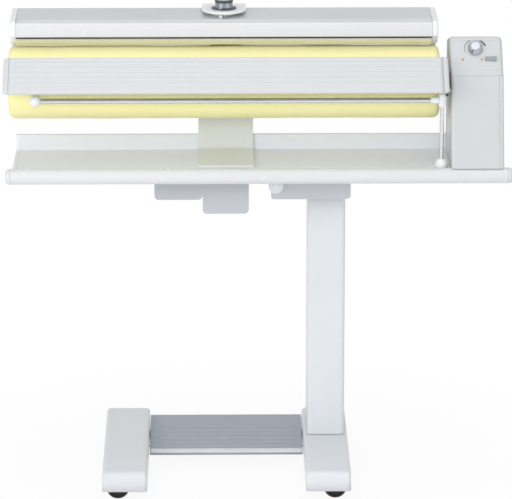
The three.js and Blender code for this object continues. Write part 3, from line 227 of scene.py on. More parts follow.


# One finish for each slot of the record, then those of small marks and lips that the record has no slot
# for, and those of pieces that are given a colour a little different from their slot's; the tray's lighter,
# bluer colour is painted light.
slotFinishes = {
    "stand_paint": (grainedFinish, dict(color=linear(224, 228, 232), rough=0.32, coat=0.15)),
    "bracket_casting": (grainedFinish, dict(
        color=linear(199, 202, 206), rough=0.4, grain=0.1, wearScale=8)),
    "pedal_finish": (grainedFinish, dict(color=linear(164, 171, 180), rough=0.36, coat=0.1, grain=0.08)),
    "castor_steel": (drawnMetal, dict(color=linear(190, 192, 195), rough=0.35, stretch=(6, 6, 1))),
    "castor_plastic": (grainedFinish, dict(color=linear(30, 30, 32), rough=0.5, grain=0.1)),
    "white_plastic": (grainedFinish, dict(color=linear(238, 240, 242), rough=0.36, drift=(0.985, 1.0))),
    "unit_paint": (grainedFinish, dict(color=linear(226, 229, 229), rough=0.3, coat=0.2)),
    "tube_paint": (grainedFinish, dict(
        color=linear(221, 223, 226), rough=0.26, coat=0.2, drift=(0.985, 1.0))),
    "grey_plastic": (grainedFinish, dict(color=linear(206, 209, 211), rough=0.42, grainScale=1400)),
    "knob_silver": (drawnMetal, dict(
        color=linear(190, 195, 202), rough=0.22, stretch=(1, 1, 8), metallic=0.85)),
    "lamp_lens": (lensFinish, dict(color=linear(226, 156, 66))),
    "roller_cloth": (wovenCloth, dict(color=linear(255, 248, 184), threads=260)),
    "roller_felt": (wovenCloth, dict(color=linear(232, 228, 214), threads=90, sheen=0.4)),
    "steel": (drawnMetal, dict(color=linear(196, 198, 201), rough=0.3, stretch=(1, 12, 12))),
    "hub_plastic": (grainedFinish, dict(color=linear(150, 154, 158), rough=0.5)),
    "motor_paint": (grainedFinish, dict(color=linear(72, 74, 78), rough=0.45)),
    "belt_rubber": (grainedFinish, dict(color=linear(40, 40, 42), rough=0.8, grain=0.3)),
    "shoe_aluminium": (drawnMetal, dict(
        color=linear(232, 233, 235), rough=0.14, stretch=(0.5, 20, 20), lineBump=0.02)),
    "chrome": (drawnMetal, dict(
        color=linear(226, 229, 233), rough=0.08, stretch=(0.5, 6, 6), lineBump=0.02)),
}
extraFinishes = {
    "dark_trim": (grainedFinish, dict(color=linear(70, 74, 78), rough=0.4)),
    "dark_print": (grainedFinish, dict(color=linear(62, 68, 74), rough=0.5, grain=0.02)),
    "clear_lens": (lensFinish, dict(color=linear(236, 240, 241))),
    # Painted shade: the grey of the dial's two fine rings stands for the shade in two grooves.
    "dial_groove_painted_shade": (grainedFinish, dict(color=linear(172, 176, 182), rough=0.4)),
    "board_plastic": (grainedFinish, dict(color=linear(211, 214, 216), rough=0.36, drift=(0.97, 1.0))),
    "cover_paint": (grainedFinish, dict(color=linear(202, 206, 209), rough=0.32, coat=0.15)),
    # Painted light: the tray's paint is lighter and bluer than the unit's, offsetting the shade in the tray
    # and the roller's yellow bounce.
    "tray_paint_offsetting_shade": (grainedFinish, dict(
        color=linear(232, 236, 245), rough=0.34, coat=0.15, drift=(0.98, 1.0))),
    "box_paint": (grainedFinish, dict(color=linear(192, 196, 201), rough=0.36, coat=0.1)),
    "switch_grey": (grainedFinish, dict(color=linear(150, 156, 166), rough=0.38)),
    # Painted highlight: the light colour of the strip along the pedal's nose.
    "pedal_nose_highlight": (drawnMetal, dict(
        color=linear(222, 225, 228), rough=0.3, stretch=(0.5, 12, 12), metallic=0.3)),
    # The turned dial's chrome: its colour swings widely between dark and bright streaks along its axis,
    # painted reflections of a turned chrome knob.
    "turned_chrome_painted_reflections": (drawnMetal, dict(
        color=linear(178, 184, 194), rough=0.12, stretch=(1, 1, 0.02), lineScale=110, lineBump=0.02,
        spread=(0.55, 1.35))),
}
materials = {name: make(name, s) for name, (make, s) in {**slotFinishes, **extraFinishes}.items()}
nodeFinishes = dict(
    power_switch="switch_grey", tray="tray_paint_offsetting_shade", drive_box="box_paint", supply_box="box_paint",
)
for part in frame["record"]["subparts"]:
    node = part["node"]
    nodes[node].data.materials.clear()
    nodes[node].data.materials.append(materials[nodeFinishes.get(node, part["material_slot"])])
print("finishes:", len(materials))


# Places of local points, in mm, in the part's frame. Along X a section is (y, z), along Y it is (x, z) and
# along Z it is (x, y). X counts from the roller's middle.
def alongX(a, b, c):
    return c, a, b


def alongY(a, b, c):
    return a, c, b


def alongZ(a, b, c):
    return a, b, c


# The control panel's own directions: a across, b up the slope, c out of it.
panel = dict(frontY=-105, seamZ=830, rise=63, run=62)
panelSlope = math.atan2(panel["rise"], panel["run"])
panelUp, panelOut = math.cos(panelSlope), math.sin(panelSlope)


def onPanel(a, b, c):
    return a, panel["frontY"] + panelUp * b - panelOut * c, panel["seamZ"] + panelOut * b + panelUp * c


# The feed board's own directions: a from its front edge up its face, b down through it, c along X.
board = dict(lowY=-165, lowZ=813, topY=-97, topZ=866)
boardSlope = math.atan2(board["topZ"] - board["lowZ"], board["topY"] - board["lowY"])
boardUp, boardOut = math.cos(boardSlope), math.sin(boardSlope)


def onBoard(a, b, c):
    return c, board["lowY"] + boardUp * a + boardOut * b, board["lowZ"] + boardOut * a - boardUp * b


# Points that keep a side flat stand at the arc's end by the radius / holdParts, but never further than the
# free side / gapParts, and are left out below leastHold.
lineSettings = dict(holdParts=4, gapParts=3, leastHold=0.01)


# A line of corners [a, b, radius] becomes points: a corner with a radius is the arc that touches its two
# straight sides, and one more point before and after each arc keeps the sides flat in the shading.
def roundedLine(corners, closed=True, steps=6):
    s = lineSettings
    points = []
    for i, (a, b, *rest) in enumerate(corners):
        corner = np.array([a, b], float)
        radius = rest[0] if rest else 0
        if radius == 0 or (not closed and i in (0, len(corners) - 1)):
            points.append(corner)
            continue
        before = np.array(corners[i - 1][:2], float) - corner
        after = np.array(corners[(i + 1) % len(corners)][:2], float) - corner
        reachBefore, reachAfter = np.linalg.norm(before), np.linalg.norm(after)
        before, after = before / reachBefore, after / reachAfter
        half = math.acos(np.clip(before @ after, -1, 1)) / 2
        reach = radius / math.tan(half)
        centre = corner + (before + after) / np.linalg.norm(before + after) * radius / math.sin(half)
        start, end = corner + before * reach - centre, corner + after * reach - centre
        turn = math.atan2(start[0] * end[1] - start[1] * end[0], start @ end)
        sides = (reachBefore, reachAfter)
        holds = [min(radius / s["holdParts"], (side - reach) / s["gapParts"]) for side in sides]
        if holds[0] > s["leastHold"]:
            points.append(centre + start + before * holds[0])
        for t in np.linspace(0, turn, steps + 1):
            points.append(centre + np.array([
                start[0] * math.cos(t) - start[1] * math.sin(t),
                start[0] * math.sin(t) + start[1] * math.cos(t),
            ]))
        if holds[1] > s["leastHold"]:
            points.append(centre + end + after * holds[1])
    return np.array(points)


# A grid of points in u and v, in mm, becomes quads. A closed direction joins its last row to its first,
# and with ends the first and last rows are each closed by one flat face.
def gridPiece(name, points, closedU=False, closedV=False, ends=False, uv=None):
    nu, nv = points.shape[:2]
    index = np.arange(nu * nv).reshape(nu, nv)
    rows = np.vstack([index, index[:1]]) if closedU else index
    rows = np.hstack([rows, rows[:, :1]]) if closedV else rows
    quads = np.stack([rows[:-1, :-1], rows[1:, :-1], rows[1:, 1:], rows[:-1, 1:]], -1).reshape(-1, 4)
    flat = (points * metre).reshape(-1, 3) + np.array([middle * metre, 0, 0])
    corner = flat[quads] - flat.mean(0)
    volume = np.einsum("ij,ij->", corner[:, 0], np.cross(corner[:, 1], corner[:, 3]))
    faces = quads.tolist() + ([index[0].tolist(), index[-1, ::-1].tolist()] if ends else [])
    if volume < 0:
        faces = [face[::-1] for face in faces]
    mesh = bpy.data.meshes.new(name)
    mesh.from_pydata(flat.tolist(), [], faces)
    if uv is not None:
        layer = mesh.uv_layers.new(name="cloth")
        corners = np.zeros(len(mesh.loops), np.int64)
        mesh.loops.foreach_get("vertex_index", corners)
        layer.data.foreach_set("uv", uv.reshape(-1, 2)[corners].astype(np.float32).ravel())
    mesh.polygons.foreach_set("use_smooth", np.arange(len(mesh.polygons)) < len(quads))
    mesh.update()
    piece = bpy.data.objects.new(name, mesh)
    bpy.context.scene.collection.objects.link(piece)
    return piece


# Gives a piece its slot's material or one of the extra ones, puts it on a body and hides the nodes that it
# stands for.
def dressed(piece, body, slot, replaced=(), material=None):
    piece.data.materials.append(materials[material or slot])
    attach(piece, body)
    if replaced:
        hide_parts(*replaced)
    return piece


def walled(piece, thickness, even=True):
    wall = piece.modifiers.new("wall", "SOLIDIFY")
    wall.thickness = thickness * metre
    wall.offset = -1
    wall.use_even_offset = even
    return piece


# A section drawn in by a distance on each side: every point moves towards the middle of the section's box,
# in proportion to its distance from it. With keepLow the lower side stays where it is.
def drawnIn(section, distance, keepLow):
    low, high = section.min(0), section.max(0)
    centre, half = (low + high) / 2, (high - low) / 2
    if keepLow:
        centre[1], half[1] = low[1], high[1] - low[1]
    return centre + (section - centre) * (1 - np.asarray(distance) / half)


# A section carried along its axis from start to end, rounded at both: at angle t from 0 to 90 degrees the
# ring is drawn in by edge * (1 - sin t) and lies depth * (1 - cos t) from the end's face, where edge is
# (across, up) and depth is the larger of the two. One ring more in the end's face and one on the straight
# part, at these shares of the edge, keep both flat in the shading. Open sections keep their lower side.
barRings = dict(inFace=1.08, onStraight=1.3)


def barPiece(name, section, start, end, place, edges, closed=True, steps=4, ends=True):
    rings = []
    for face, edge, sign in ((start, edges[0], 1), (end, edges[1], -1)):
        rows = [(barRings["inFace"], 0.0)] if ends else []
        rows += [(1 - math.sin(t), 1 - math.cos(t)) for t in np.linspace(0, math.pi / 2, steps + 1)]
        rows += [(0.0, barRings["onStraight"])]
        made = []
        for inset, forward in rows:
            ring = drawnIn(section, np.array(edge) * inset, not closed)
            along = np.full(len(section), face + sign * max(edge) * forward)
            made.append(np.stack(place(ring[:, 0], ring[:, 1], along), -1))
        rings += made if sign > 0 else made[::-1]
    return gridPiece(name, np.array(rings), closedV=closed, ends=ends)


# Radius in mm of the small face that closes a turned piece at its pole, and steps of a rounded corner.
turnedDefaults = dict(poleRadius=0.02, cornerSteps=5)


# A profile of [radius, along] points turned about its axis: the point at angle v stands at
# a = radius cos v, b = radius sin v, c = along, from the given centre.
def turnedPiece(name, corners, place, centre, closed=False, around=56):
    line = roundedLine(corners, closed, turnedDefaults["cornerSteps"])
    v = np.linspace(0, 2 * math.pi, around, endpoint=False)
    radius = np.maximum(line[:, 0], turnedDefaults["poleRadius"])[:, None]
    a, b = radius * np.cos(v), radius * np.sin(v)
    c = line[:, 1][:, None] + 0 * v
    points = np.stack(place(a + centre[0], b + centre[1], c + centre[2]), -1)
    return gridPiece(name, points, closedU=closed, closedV=True, ends=not closed)


# Points on a circle round centre from start to end degrees.
def arc(centre, radius, start, end, count):
    turns = np.radians(np.linspace(start, end, count))
    return np.stack([centre[0] + radius * np.cos(turns), centre[1] + radius * np.sin(turns)], -1)


roller = dict(y=-45, z=806)
clothSettings = dict(
    left=-411, right=411, radius=70, edge=12, hem=27, turnIn=4, thickness=1.2, around=264,
    edgePoints=9, hemPoints=10, sidePoints=60,
    gathers=44, gatherDepth=1.4, gatherDrift=0.6, gatherDrifts=3, gatherFrom=4,
    swells=((0.2, 0.023, 2), (0.15, 0.061, -3)), sunk=0.4,
)
feltSettings = dict(left=-404.5, right=404.5, outer=67.8, inner=62.2, around=96)


# Point (x, r) of a profile at angle v stands at y = r sin v, z = r cos v round the roller's axis.
def roundRoller(x, r, v):
    return np.stack([x, roller["y"] + r * np.sin(v), roller["z"] + r * np.cos(v)], -1)


# The cover's line from the left hem over the roller to the right hem: hem, rounded edge, straight side,
# rounded edge, hem. Each point is (x, radius).
def clothProfile(s):
    shoulder = s["radius"] - s["edge"]
    left = arc((s["left"] + s["edge"], shoulder), s["edge"], 180, 90, s["edgePoints"])
    right = arc((s["right"] - s["edge"], shoulder), s["edge"], 90, 0, s["edgePoints"])
    hemRadii = np.linspace(s["hem"], shoulder, s["hemPoints"])[:-1]
    sink = s["turnIn"] * np.cos(np.linspace(0, math.pi / 2, s["hemPoints"])[:-1])
    sideX = np.linspace(left[-1, 0], right[0, 0], s["sidePoints"])[1:-1]
    side = np.stack([sideX, np.full(len(sideX), s["radius"])], -1)
    return np.vstack([
        np.stack([s["left"] + sink, hemRadii], -1), left, side, right,
        np.stack([s["right"] - sink, hemRadii], -1)[::-1],
    ])


# The cover's line turned round the roller. Towards the hem it waves in and out along x in gathers that fade
# outwards: depth * fade * (1 + sin(gathers v + drift sin(drifts v))). The whole radius sinks a little and
# swells by the sum of depth * sin(x alongRate + v aroundRate), less than half a millimetre.
def rollerCloth(s):
    line = clothProfile(s)
    v = np.linspace(0, 2 * math.pi, s["around"], endpoint=False)
    x = line[:, 0][:, None] + 0 * v
    r = line[:, 1][:, None] + 0 * v
    towardsHem = np.clip((s["radius"] - s["gatherFrom"] - r) / (s["radius"] - s["hem"]), 0, 1)
    inwards = np.where(x < s["left"] + s["edge"] * 2, 1, -1)
    wave = 1 + np.sin(v * s["gathers"] + s["gatherDrift"] * np.sin(v * s["gatherDrifts"]))
    x = x + inwards * s["gatherDepth"] * towardsHem * wave
    r = r - s["sunk"]
    for depth, alongRate, aroundRate in s["swells"]:
        r = r + depth * np.sin(x * alongRate + v * aroundRate)
    steps = np.linalg.norm(np.diff(line, axis=0), axis=1)
    alongLine = np.concatenate([[0], np.cumsum(steps)])
    uv = np.stack([alongLine[:, None] + 0 * v, s["radius"] * v + 0 * x], -1) * metre
    piece = walled(gridPiece("roller_cloth", roundRoller(x, r, v), closedV=True, uv=uv), s["thickness"])
    dressed(piece, "roller", "roller_cloth", ["roller_cover"])


# A closed ring of felt: its four-sided section, at x from left to right and radius from inner to outer, is
# turned once round the roller's axis.
def rollerFelt(s):
    section = np.array([
        [s["left"], s["inner"]], [s["left"], s["outer"]],
        [s["right"], s["outer"]], [s["right"], s["inner"]],
    ])
    v = np.linspace(0, 2 * math.pi, s["around"], endpoint=False)
    r = section[:, 1][:, None] + 0 * v
    x = section[:, 0][:, None] + 0 * v
    uv = np.stack([x, s["outer"] * v + 0 * r], -1) * metre
    piece = gridPiece("roller_felt", roundRoller(x, r, v), closedU=True, closedV=True, uv=uv)
    dressed(piece, "roller", "roller_felt", ["roller_padding"])


rollerCloth(clothSettings)
rollerFelt(feltSettings)
print("roller dressed")

# The rail's ball, from its outer pole round to the bore for the rod and down the bore to its floor.
ballSettings = dict(radius=11, bore=5.3, boreEdge=0.2, boreFloor=5.5, points=24)


def ballProfile(s):
    boreTurn = math.degrees(math.asin(s["bore"] / s["radius"]))
    line = arc((0, 0), s["radius"], -90, 90 - boreTurn, s["points"])
    bore = [[s["bore"], s["boreFloor"], s["boreEdge"]], [0, s["boreFloor"]]]
    return [[abs(a), b] for a, b in line] + bore


# Half of a tyre's profile from its bore to its tread; the other half mirrors it.
tyreHalf = [
    [3.3, -9, 0.4], [7, -9, 0.6], [8, -7, 0.8], [16, -7, 0.8], [17, -9, 0.6], [19, -9, 1], [22, -6, 3],
]
tyreProfile = tyreHalf + [[radius, -b, corner] for radius, b, corner in reversed(tyreHalf)]
lensProfile = [[0, -3], [1.7, -3, 0.2], [1.7, 1.2, 1], [0, 1.7]]

# Round pieces. Each profile runs [radius, along, corner radius] from pole to pole, or round a closed wall.
turnedSettings = [
    dict(name="rail_post_bar", node="rail_post", body="ironing_unit", slot="chrome", place=alongZ,
         centre=(413, -128, 0), profile=[[0, 658.3], [4.25, 658.3, 0.3], [4.25, 804, 2], [0, 804]]),
    dict(name="rail_bar", node="rail_rod", body="laundry_rail", slot="chrome", place=alongX,
         centre=(-128, 788, 0), profile=[[0, -352.5], [5, -352.5, 0.4], [5, 405.6, 0.4], [0, 405.6]]),
    dict(name="rail_end_ball", node="rail_ball", body="laundry_rail", slot="white_plastic", place=alongX,
         centre=(-128, 788, -358), profile=ballProfile(ballSettings)),
    dict(name="rail_swivel_sleeve", node="rail_tee", body="laundry_rail", slot="white_plastic",
         place=alongZ, centre=(413, -128, 788), closed=True,
         profile=[[4.55, -12.5, 0.3], [6.5, -12.5, 1.2], [6.5, 12.5, 1.2], [4.55, 12.5, 0.3]]),
    dict(name="rail_rod_sleeve", node="rail_tee", body="laundry_rail", slot="white_plastic", place=alongX,
         centre=(-128, 788, 0), closed=True,
         profile=[[5.3, 391, 0.3], [6.5, 391, 1.1], [6.5, 408, 0.2], [5.3, 408, 0.1]]),
    dict(name="post_foot_dome", node="post_foot", body="ironing_unit", slot="white_plastic", place=alongZ,
         centre=(413, -128, 658.3), closed=True,
         profile=[[4.6, 0, 0.2], [12.5, 0, 1.2], [12.2, 7, 5], [9, 13.4, 4], [5.2, 16, 1], [4.6, 16, 0.1]]),
    dict(name="front_tube_bar", node="front_tube", body="ironing_unit", slot="tube_paint", place=alongX,
         centre=(-150, 646, 0), closed=True, around=72,
         profile=[[13, -406.7, 0.2], [15, -406.7, 0.5], [15, 538.7, 0.5], [13, 538.7, 0.2]]),
    dict(name="tube_plug_left", node="tube_cap_left", body="ironing_unit", slot="tube_paint", place=alongX,
         centre=(-150, 646, 0), around=72,
         profile=[[0, -407], [15, -407, 0.5], [15, -416, 7.5], [0, -416]]),
    dict(name="tube_plug_right", node="tube_cap_right", body="ironing_unit", slot="tube_paint",
         place=alongX, centre=(-150, 646, 0), around=72,
         profile=[[0, 539], [15, 539, 0.5], [15, 548, 7.5], [0, 548]]),
    dict(name="fold_pin", node="fold_pivot_pin", body="stand", slot="white_plastic", place=alongY,
         centre=(99, 601, 0),
         profile=[[0, -59.8], [6.75, -59.8, 1.2], [6.75, -57.6, 0.4], [4.5, -57.6, 0.2],
                  [4.5, -6.8, 0.8], [0, -6.8]]),
    # The dial's body takes the chrome whose dark and bright streaks are painted reflections.
    dict(name="dial_body", node="temperature_dial", body="dial", slot="chrome", material="turned_chrome_painted_reflections",
         place=alongZ, centre=(0, -5, 0),
         profile=[[0, 927], [3, 927, 0.5], [3, 941.4, 0.2], [17.1, 941.4, 0.4], [17.1, 953.6, 0.2],
                  [15, 953.6, 0.2], [14.6, 958, 0.4], [0, 958.6]]),
    dict(name="dial_skirt", body="dial", slot="grey_plastic", material="dark_trim", place=alongZ,
         centre=(0, -5, 0), closed=True,
         profile=[[16.4, 941.25, 0.2], [24.6, 941.25, 0.3], [23.8, 942.6, 0.4], [16.4, 943, 0.3]]),
    dict(name="dial_rim", body="dial", slot="grey_plastic", material="dark_trim", place=alongZ,
         centre=(0, -5, 0), closed=True,
         profile=[[15.2, 953.3, 0.2], [17.5, 953.3, 0.5], [17.5, 957.6, 1.2], [16.2, 958.8, 0.5],
                  [15.2, 958.2, 0.3]]),
    dict(name="speed_knob_cap", node="speed_knob", body="speed_control", slot="knob_silver", place=onPanel,
         centre=(479, 61, 0),
         profile=[[0, -9.5], [3.5, -9.5, 0.3], [3.5, -0.5, 0.2], [15, -0.5, 0.5], [14.4, 2.6, 1.2],
                  [10.2, 9.6, 1.5], [8.6, 10.2, 0.6], [8.2, 9.4, 0.4], [0, 9]]),
    dict(name="power_lens", node="power_lamp", body="ironing_unit", slot="lamp_lens", place=onPanel,
         centre=(454.5, 37, 0), around=28, profile=lensProfile),
    dict(name="ready_lens", node="ready_lamp", body="ironing_unit", slot="lamp_lens", place=onPanel,
         centre=(490.5, 37, 0), around=28, profile=lensProfile),
]
for end, endY in (("front", -148), ("rear", 148)):
    for side, wheelX in (("left", -209), ("right", 214)):
        turnedSettings.append(dict(
            name=f"castor_tyre_{end}_{side}", node=f"castor_wheel_{end}_{side}", body=f"wheel_{end}_{side}",
            slot="castor_plastic", place=alongY, centre=(wheelX, 22, endY), closed=True, around=48,
            profile=tyreProfile))
for s in turnedSettings:
    shape = dict(closed=s.get("closed", False), around=s.get("around", 56))
    piece = turnedPiece(s["name"], s["profile"], s["place"], s["centre"], **shape)
    dressed(piece, s["body"], s["slot"], [s["node"]] if "node" in s else (), s.get("material"))
print("round pieces:", len(turnedSettings))

# Straight pieces: sections with rounded corners carried along one axis.
housingCorners = [[-160, 661.3, 0.5], [35, 661.3, 0.5], [35, 829.7, 0.5], [-105, 829.7, 0.5]]
barSettings = [
    dict(name="finger_guard_bar", node="finger_guard", body="guard", slot="tube_paint", place=alongX,
         start=-396.7, end=396.7, edges=((0.6, 0.6), (0.6, 0.6)),
         corners=[[-69.6, 898, 3], [-60, 898, 3], [-60, 926, 2.4], [-69.6, 926, 4.4], [-70.6, 914, 40]]),
    dict(name="housing_body", node="housing_shell", body="ironing_unit", slot="grey_plastic", place=alongX,
         start=431, end=522.7, edges=((6, 0.4), (0.4, 0.4)), corners=housingCorners),
    dict(name="housing_side_plate", node="housing_side_cover", body="ironing_unit", slot="grey_plastic",
         place=alongX, start=523, end=531, edges=((0.4, 0.4), (5, 1.2)), corners=housingCorners),
    dict(name="stand_column", node="column", body="stand", slot="stand_paint", place=alongZ,
         start=70.5, end=640, edges=((0.2, 0.2), (0.5, 0.5)),
         corners=[[163, 25, 8], [237, 25, 8], [237, 125, 8], [163, 125, 8]]),
]
for s in barSettings:
    piece = barPiece(s["name"], roundedLine(s["corners"]), s["start"], s["end"], s["place"], s["edges"])
    dressed(piece, s["body"], s["slot"], [s["node"]])
print("straight pieces:", len(barSettings))

# End caps of the heater: the cover's end with a lip in front over the guard and a leg behind, cut out
# round the roller where z = cutZ + root(cutRadius squared - (y - cutY) squared). The outer edge is rounded
# more than the inner one.
capSettings = dict(
    front=-70, rear=51, under=898, legFront=-45, legUnder=838, frontTop=928.3, rearTop=933,
    cutY=-34.1, cutZ=810.3, cutRadius=72, cutPoints=18, inner=397, outer=408, soft=(4, 4), crisp=(0.5, 0.5),
)


def heaterEndCaps(s):
    def onCut(y):
        return s["cutZ"] + math.sqrt(s["cutRadius"] ** 2 - (y - s["cutY"]) ** 2)

    cutEndY = s["cutY"] + math.sqrt(s["cutRadius"] ** 2 - (s["legUnder"] - s["cutZ"]) ** 2)
    cut = [[y, onCut(y)] for y in np.linspace(s["legFront"], cutEndY, s["cutPoints"])[:-1]]
    section = roundedLine([
        [s["front"], s["under"], 4], [s["legFront"], s["under"], 2], *cut, [cutEndY, s["legUnder"]],
        [s["rear"], s["legUnder"], 3], [s["rear"], s["rearTop"], 10], [s["front"], s["frontTop"], 9],
    ])
    for name, start, end, edges in (
        ("left", -s["outer"], -s["inner"], (s["soft"], s["crisp"])),
        ("right", s["inner"], s["outer"], (s["crisp"], s["soft"])),
    ):
        piece = barPiece(f"heater_cheek_{name}", section, start, end, alongX, edges, steps=5)
        dressed(piece, "heater", "white_plastic", [f"heater_end_cap_{name}"])


# The cover's sheet: from the lower front edge up, over the rounded front edge and the gently rising top,
# round the rear edge and down to the lower rear edge, carried straight from left to right.
coverSettings = dict(
    left=-396.7, right=396.7, edgeStrip=2, columns=24, wall=2.5,
    line=[[-54, 903], [-54, 928.3, 11], [51, 933, 10], [51, 838]],
)


def heaterCover(s):
    line = roundedLine(s["line"], closed=False, steps=9)
    columns = np.concatenate([
        [s["left"], s["left"] + s["edgeStrip"]], np.linspace(s["left"], s["right"], s["columns"])[1:-1],
        [s["right"] - s["edgeStrip"], s["right"]],
    ])
    x, y = np.meshgrid(columns, line[:, 0], indexing="ij")
    points = np.stack([x, y, line[:, 1] + 0 * x], -1)
    piece = walled(gridPiece("heater_hood", points), s["wall"])
    dressed(piece, "heater", "unit_paint", ["heater_cover"], "cover_paint")


# The shoe: an arc of plate round the roller, where angle t stands at y = centreY + radius sin t and
# z = centreZ + radius cos t. Its front lip leans back from top to bottom, so the polished face looks down
# on the cloth; the outer arc ends a few degrees behind it.
shoeSettings = dict(
    centreY=-34.1, centreZ=810.3, inner=71, outer=81, front=-14, rear=56, outerBehind=4,
    innerPoints=25, outerPoints=24, tipRadius=1.5, lipRadius=1,
    lipTop=[-54.6, 892.6], lipBack=[-43, 892.6], left=-396.4, right=396.4, edges=((0.4, 0.4), (0.4, 0.4)),
)


def heaterShoe(s):
    def onArc(radius, start, end, count):
        turns = np.radians(np.linspace(start, end, count))
        return [[s["centreY"] + radius * math.sin(t), s["centreZ"] + radius * math.cos(t)] for t in turns]

    inner = onArc(s["inner"], s["front"], s["rear"], s["innerPoints"])
    outer = onArc(s["outer"], s["rear"], s["front"] + s["outerBehind"], s["outerPoints"])
    inner[0].append(s["tipRadius"])
    lip = [[*s["lipBack"], s["lipRadius"]], [*s["lipTop"], s["lipRadius"]]]
    section = roundedLine([*inner, *outer, *lip])
    piece = barPiece("shoe_plate", section, s["left"], s["right"], alongX, s["edges"])
    dressed(piece, "heater", "shoe_aluminium", ["heater_shoe"])


heaterEndCaps(capSettings)
heaterCover(coverSettings)
heaterShoe(shoeSettings)

# The dial's bezel: straight at the back, a half circle round the dial in front, with a soft upper edge and
# two fine grey rings round the dial, painted shade standing for two fine grooves. A ring's profile counts
# from its radius and from the bezel's top.
bezelSettings = dict(
    centreY=-5, radius=42, frontPoints=33, rearY=44, rearCorner=4, under=936.6, top=941,
    edges=((1, 1), (2.6, 2.6)), neckProfile=[[0, 930.2], [24, 930.2], [24, 936.5], [0, 936.5]],
    rings=(28.5, 34.5), ringProfile=[[-0.4, -1, 0], [0.4, -1, 0], [0.3, 0.1, 0.1], [-0.3, 0.1, 0.1]],
    lensCentre=(-6, -42, 0), lensProfile=[[0, 929], [3.2, 929], [3.2, 934, 1.5], [0, 936.2]],
)


def dialBezel(s):
    centre = (0, s["centreY"], 0)
    front = arc(centre, s["radius"], 180, 360, s["frontPoints"])
    back = roundedLine([
        [s["radius"], s["centreY"]], [s["radius"], s["rearY"], s["rearCorner"]],
        [-s["radius"], s["rearY"], s["rearCorner"]], [-s["radius"], s["centreY"]],
    ], closed=False)
    section = np.vstack([front, back[1:-1]])
    piece = barPiece("dial_plinth", section, s["under"], s["top"], alongZ, s["edges"], steps=6)
    dressed(piece, "heater", "white_plastic", ["dial_bezel"])
    neck = turnedPiece("dial_neck", s["neckProfile"], alongZ, centre)
    dressed(neck, "heater", "white_plastic", ["dial_bezel"])
    # Each ring is grey painted shade in place of a groove.
    for k, radius in enumerate(s["rings"]):
        profile = [[radius + a, s["top"] + b, corner] for a, b, corner in s["ringProfile"]]
        ring = turnedPiece(f"dial_ring_{k + 1}", profile, alongZ, centre, closed=True, around=72)
        dressed(ring, "heater", "grey_plastic", material="dial_groove_painted_shade")
    lens = turnedPiece("dial_lens", s["lensProfile"], alongZ, s["lensCentre"], around=28)
    dressed(lens, "heater", "lamp_lens", material="clear_lens")


dialBezel(bezelSettings)
print("heater dressed")

# The control cap: its side section carried along X. Each end is rounded: at distance d past the place where
# its rounding starts, the ring is drawn in by radius - root(radius squared - d squared). The sloping face
# sinks by insetDepth * (distance inside a rounded rectangle on the slope / lip), at most by insetDepth.
controlSettings = dict(
    left=431, right=531, roundLeft=5, roundRight=9, ringsLeft=7, ringsRight=9, step=0.5, tolerance=0.05,
    insetLeft=433.5, insetRight=523.5, insetLow=11, insetHigh=80, insetRadius=7, insetDepth=1.6, lip=1,
    slopeTo=81, corners=[[-105, 830], [35, 830], [35, 872, 5], [-43, 893, 12]],
)


# How far a value lies past the place where the corner of a rounded rectangle from low to high begins.
def pastCorner(value, low, high, radius):
    return np.maximum(np.abs(value - (low + high) / 2) - (high - low) / 2 + radius, 0)


# The cap's side section with fine steps up the slope, and for each point its distance up the slope from the
# seam and whether it lies on the slope.
def controlSection(s):
    seam = np.array(s["corners"][0])
    upSlope, outOfSlope = np.array([panelUp, panelOut]), np.array([-panelOut, panelUp])

    def slopePlace(line):
        return (line - seam) @ upSlope, np.abs((line - seam) @ outOfSlope) < s["tolerance"]

    line = roundedLine(s["corners"], steps=7)
    along, onSlope = slopePlace(line)
    line = line[~(onSlope & (along > 0) & (along < s["slopeTo"]))]
    fine = seam + np.arange(s["slopeTo"], 0, -s["step"])[:, None] * upSlope
    section = np.vstack([line, fine])
    return (section, *slopePlace(section))


def controlCap(s):
    section, along, onSlope = controlSection(s)
    bothRounds = (s["left"] + s["roundLeft"], s["right"] - s["roundRight"])
    x = np.concatenate([
        s["left"] + s["roundLeft"] * (1 - np.cos(np.linspace(0, math.pi / 2, s["ringsLeft"]))),
        np.arange(bothRounds[0] + s["step"], bothRounds[1], s["step"]),
        s["right"] - s["roundRight"] * (1 - np.cos(np.linspace(math.pi / 2, 0, s["ringsRight"]))),
    ])
    intoLeft = np.clip(bothRounds[0] - x, 0, s["roundLeft"])
    intoRight = np.clip(x - bothRounds[1], 0, s["roundRight"])
    insets = s["roundLeft"] - np.sqrt(s["roundLeft"] ** 2 - intoLeft ** 2) \
        + s["roundRight"] - np.sqrt(s["roundRight"] ** 2 - intoRight ** 2)
    upPast = pastCorner(along, s["insetLow"], s["insetHigh"], s["insetRadius"])
    sidePast = pastCorner(x, s["insetLeft"], s["insetRight"], s["insetRadius"])
    inside = s["insetRadius"] - np.hypot(sidePast[:, None], upPast)
    sunk = np.clip(inside / s["lip"], 0, 1) * s["insetDepth"] * onSlope
    sides = np.array([drawnIn(section, (inset, inset), True) for inset in insets])
    y, z = sides[:, :, 0] + panelOut * sunk, sides[:, :, 1] - panelUp * sunk
    piece = gridPiece("control_hood", np.stack([x[:, None] + 0 * y, y, z], -1), closedV=True, ends=True)
    dressed(piece, "ironing_unit", "grey_plastic", ["control_cap"])


controlCap(controlSettings)

# Printed speed mark: an arc round the knob at radius +- half its width, which grows evenly from one end to
# the other, with a thin body that stands out of the sunk face.
markSettings = dict(
    centre=(479, 61), radius=20.5, start=205, end=20, points=40,
    thin=0.4, thick=3.2, rise=-1.55, height=0.15,
)


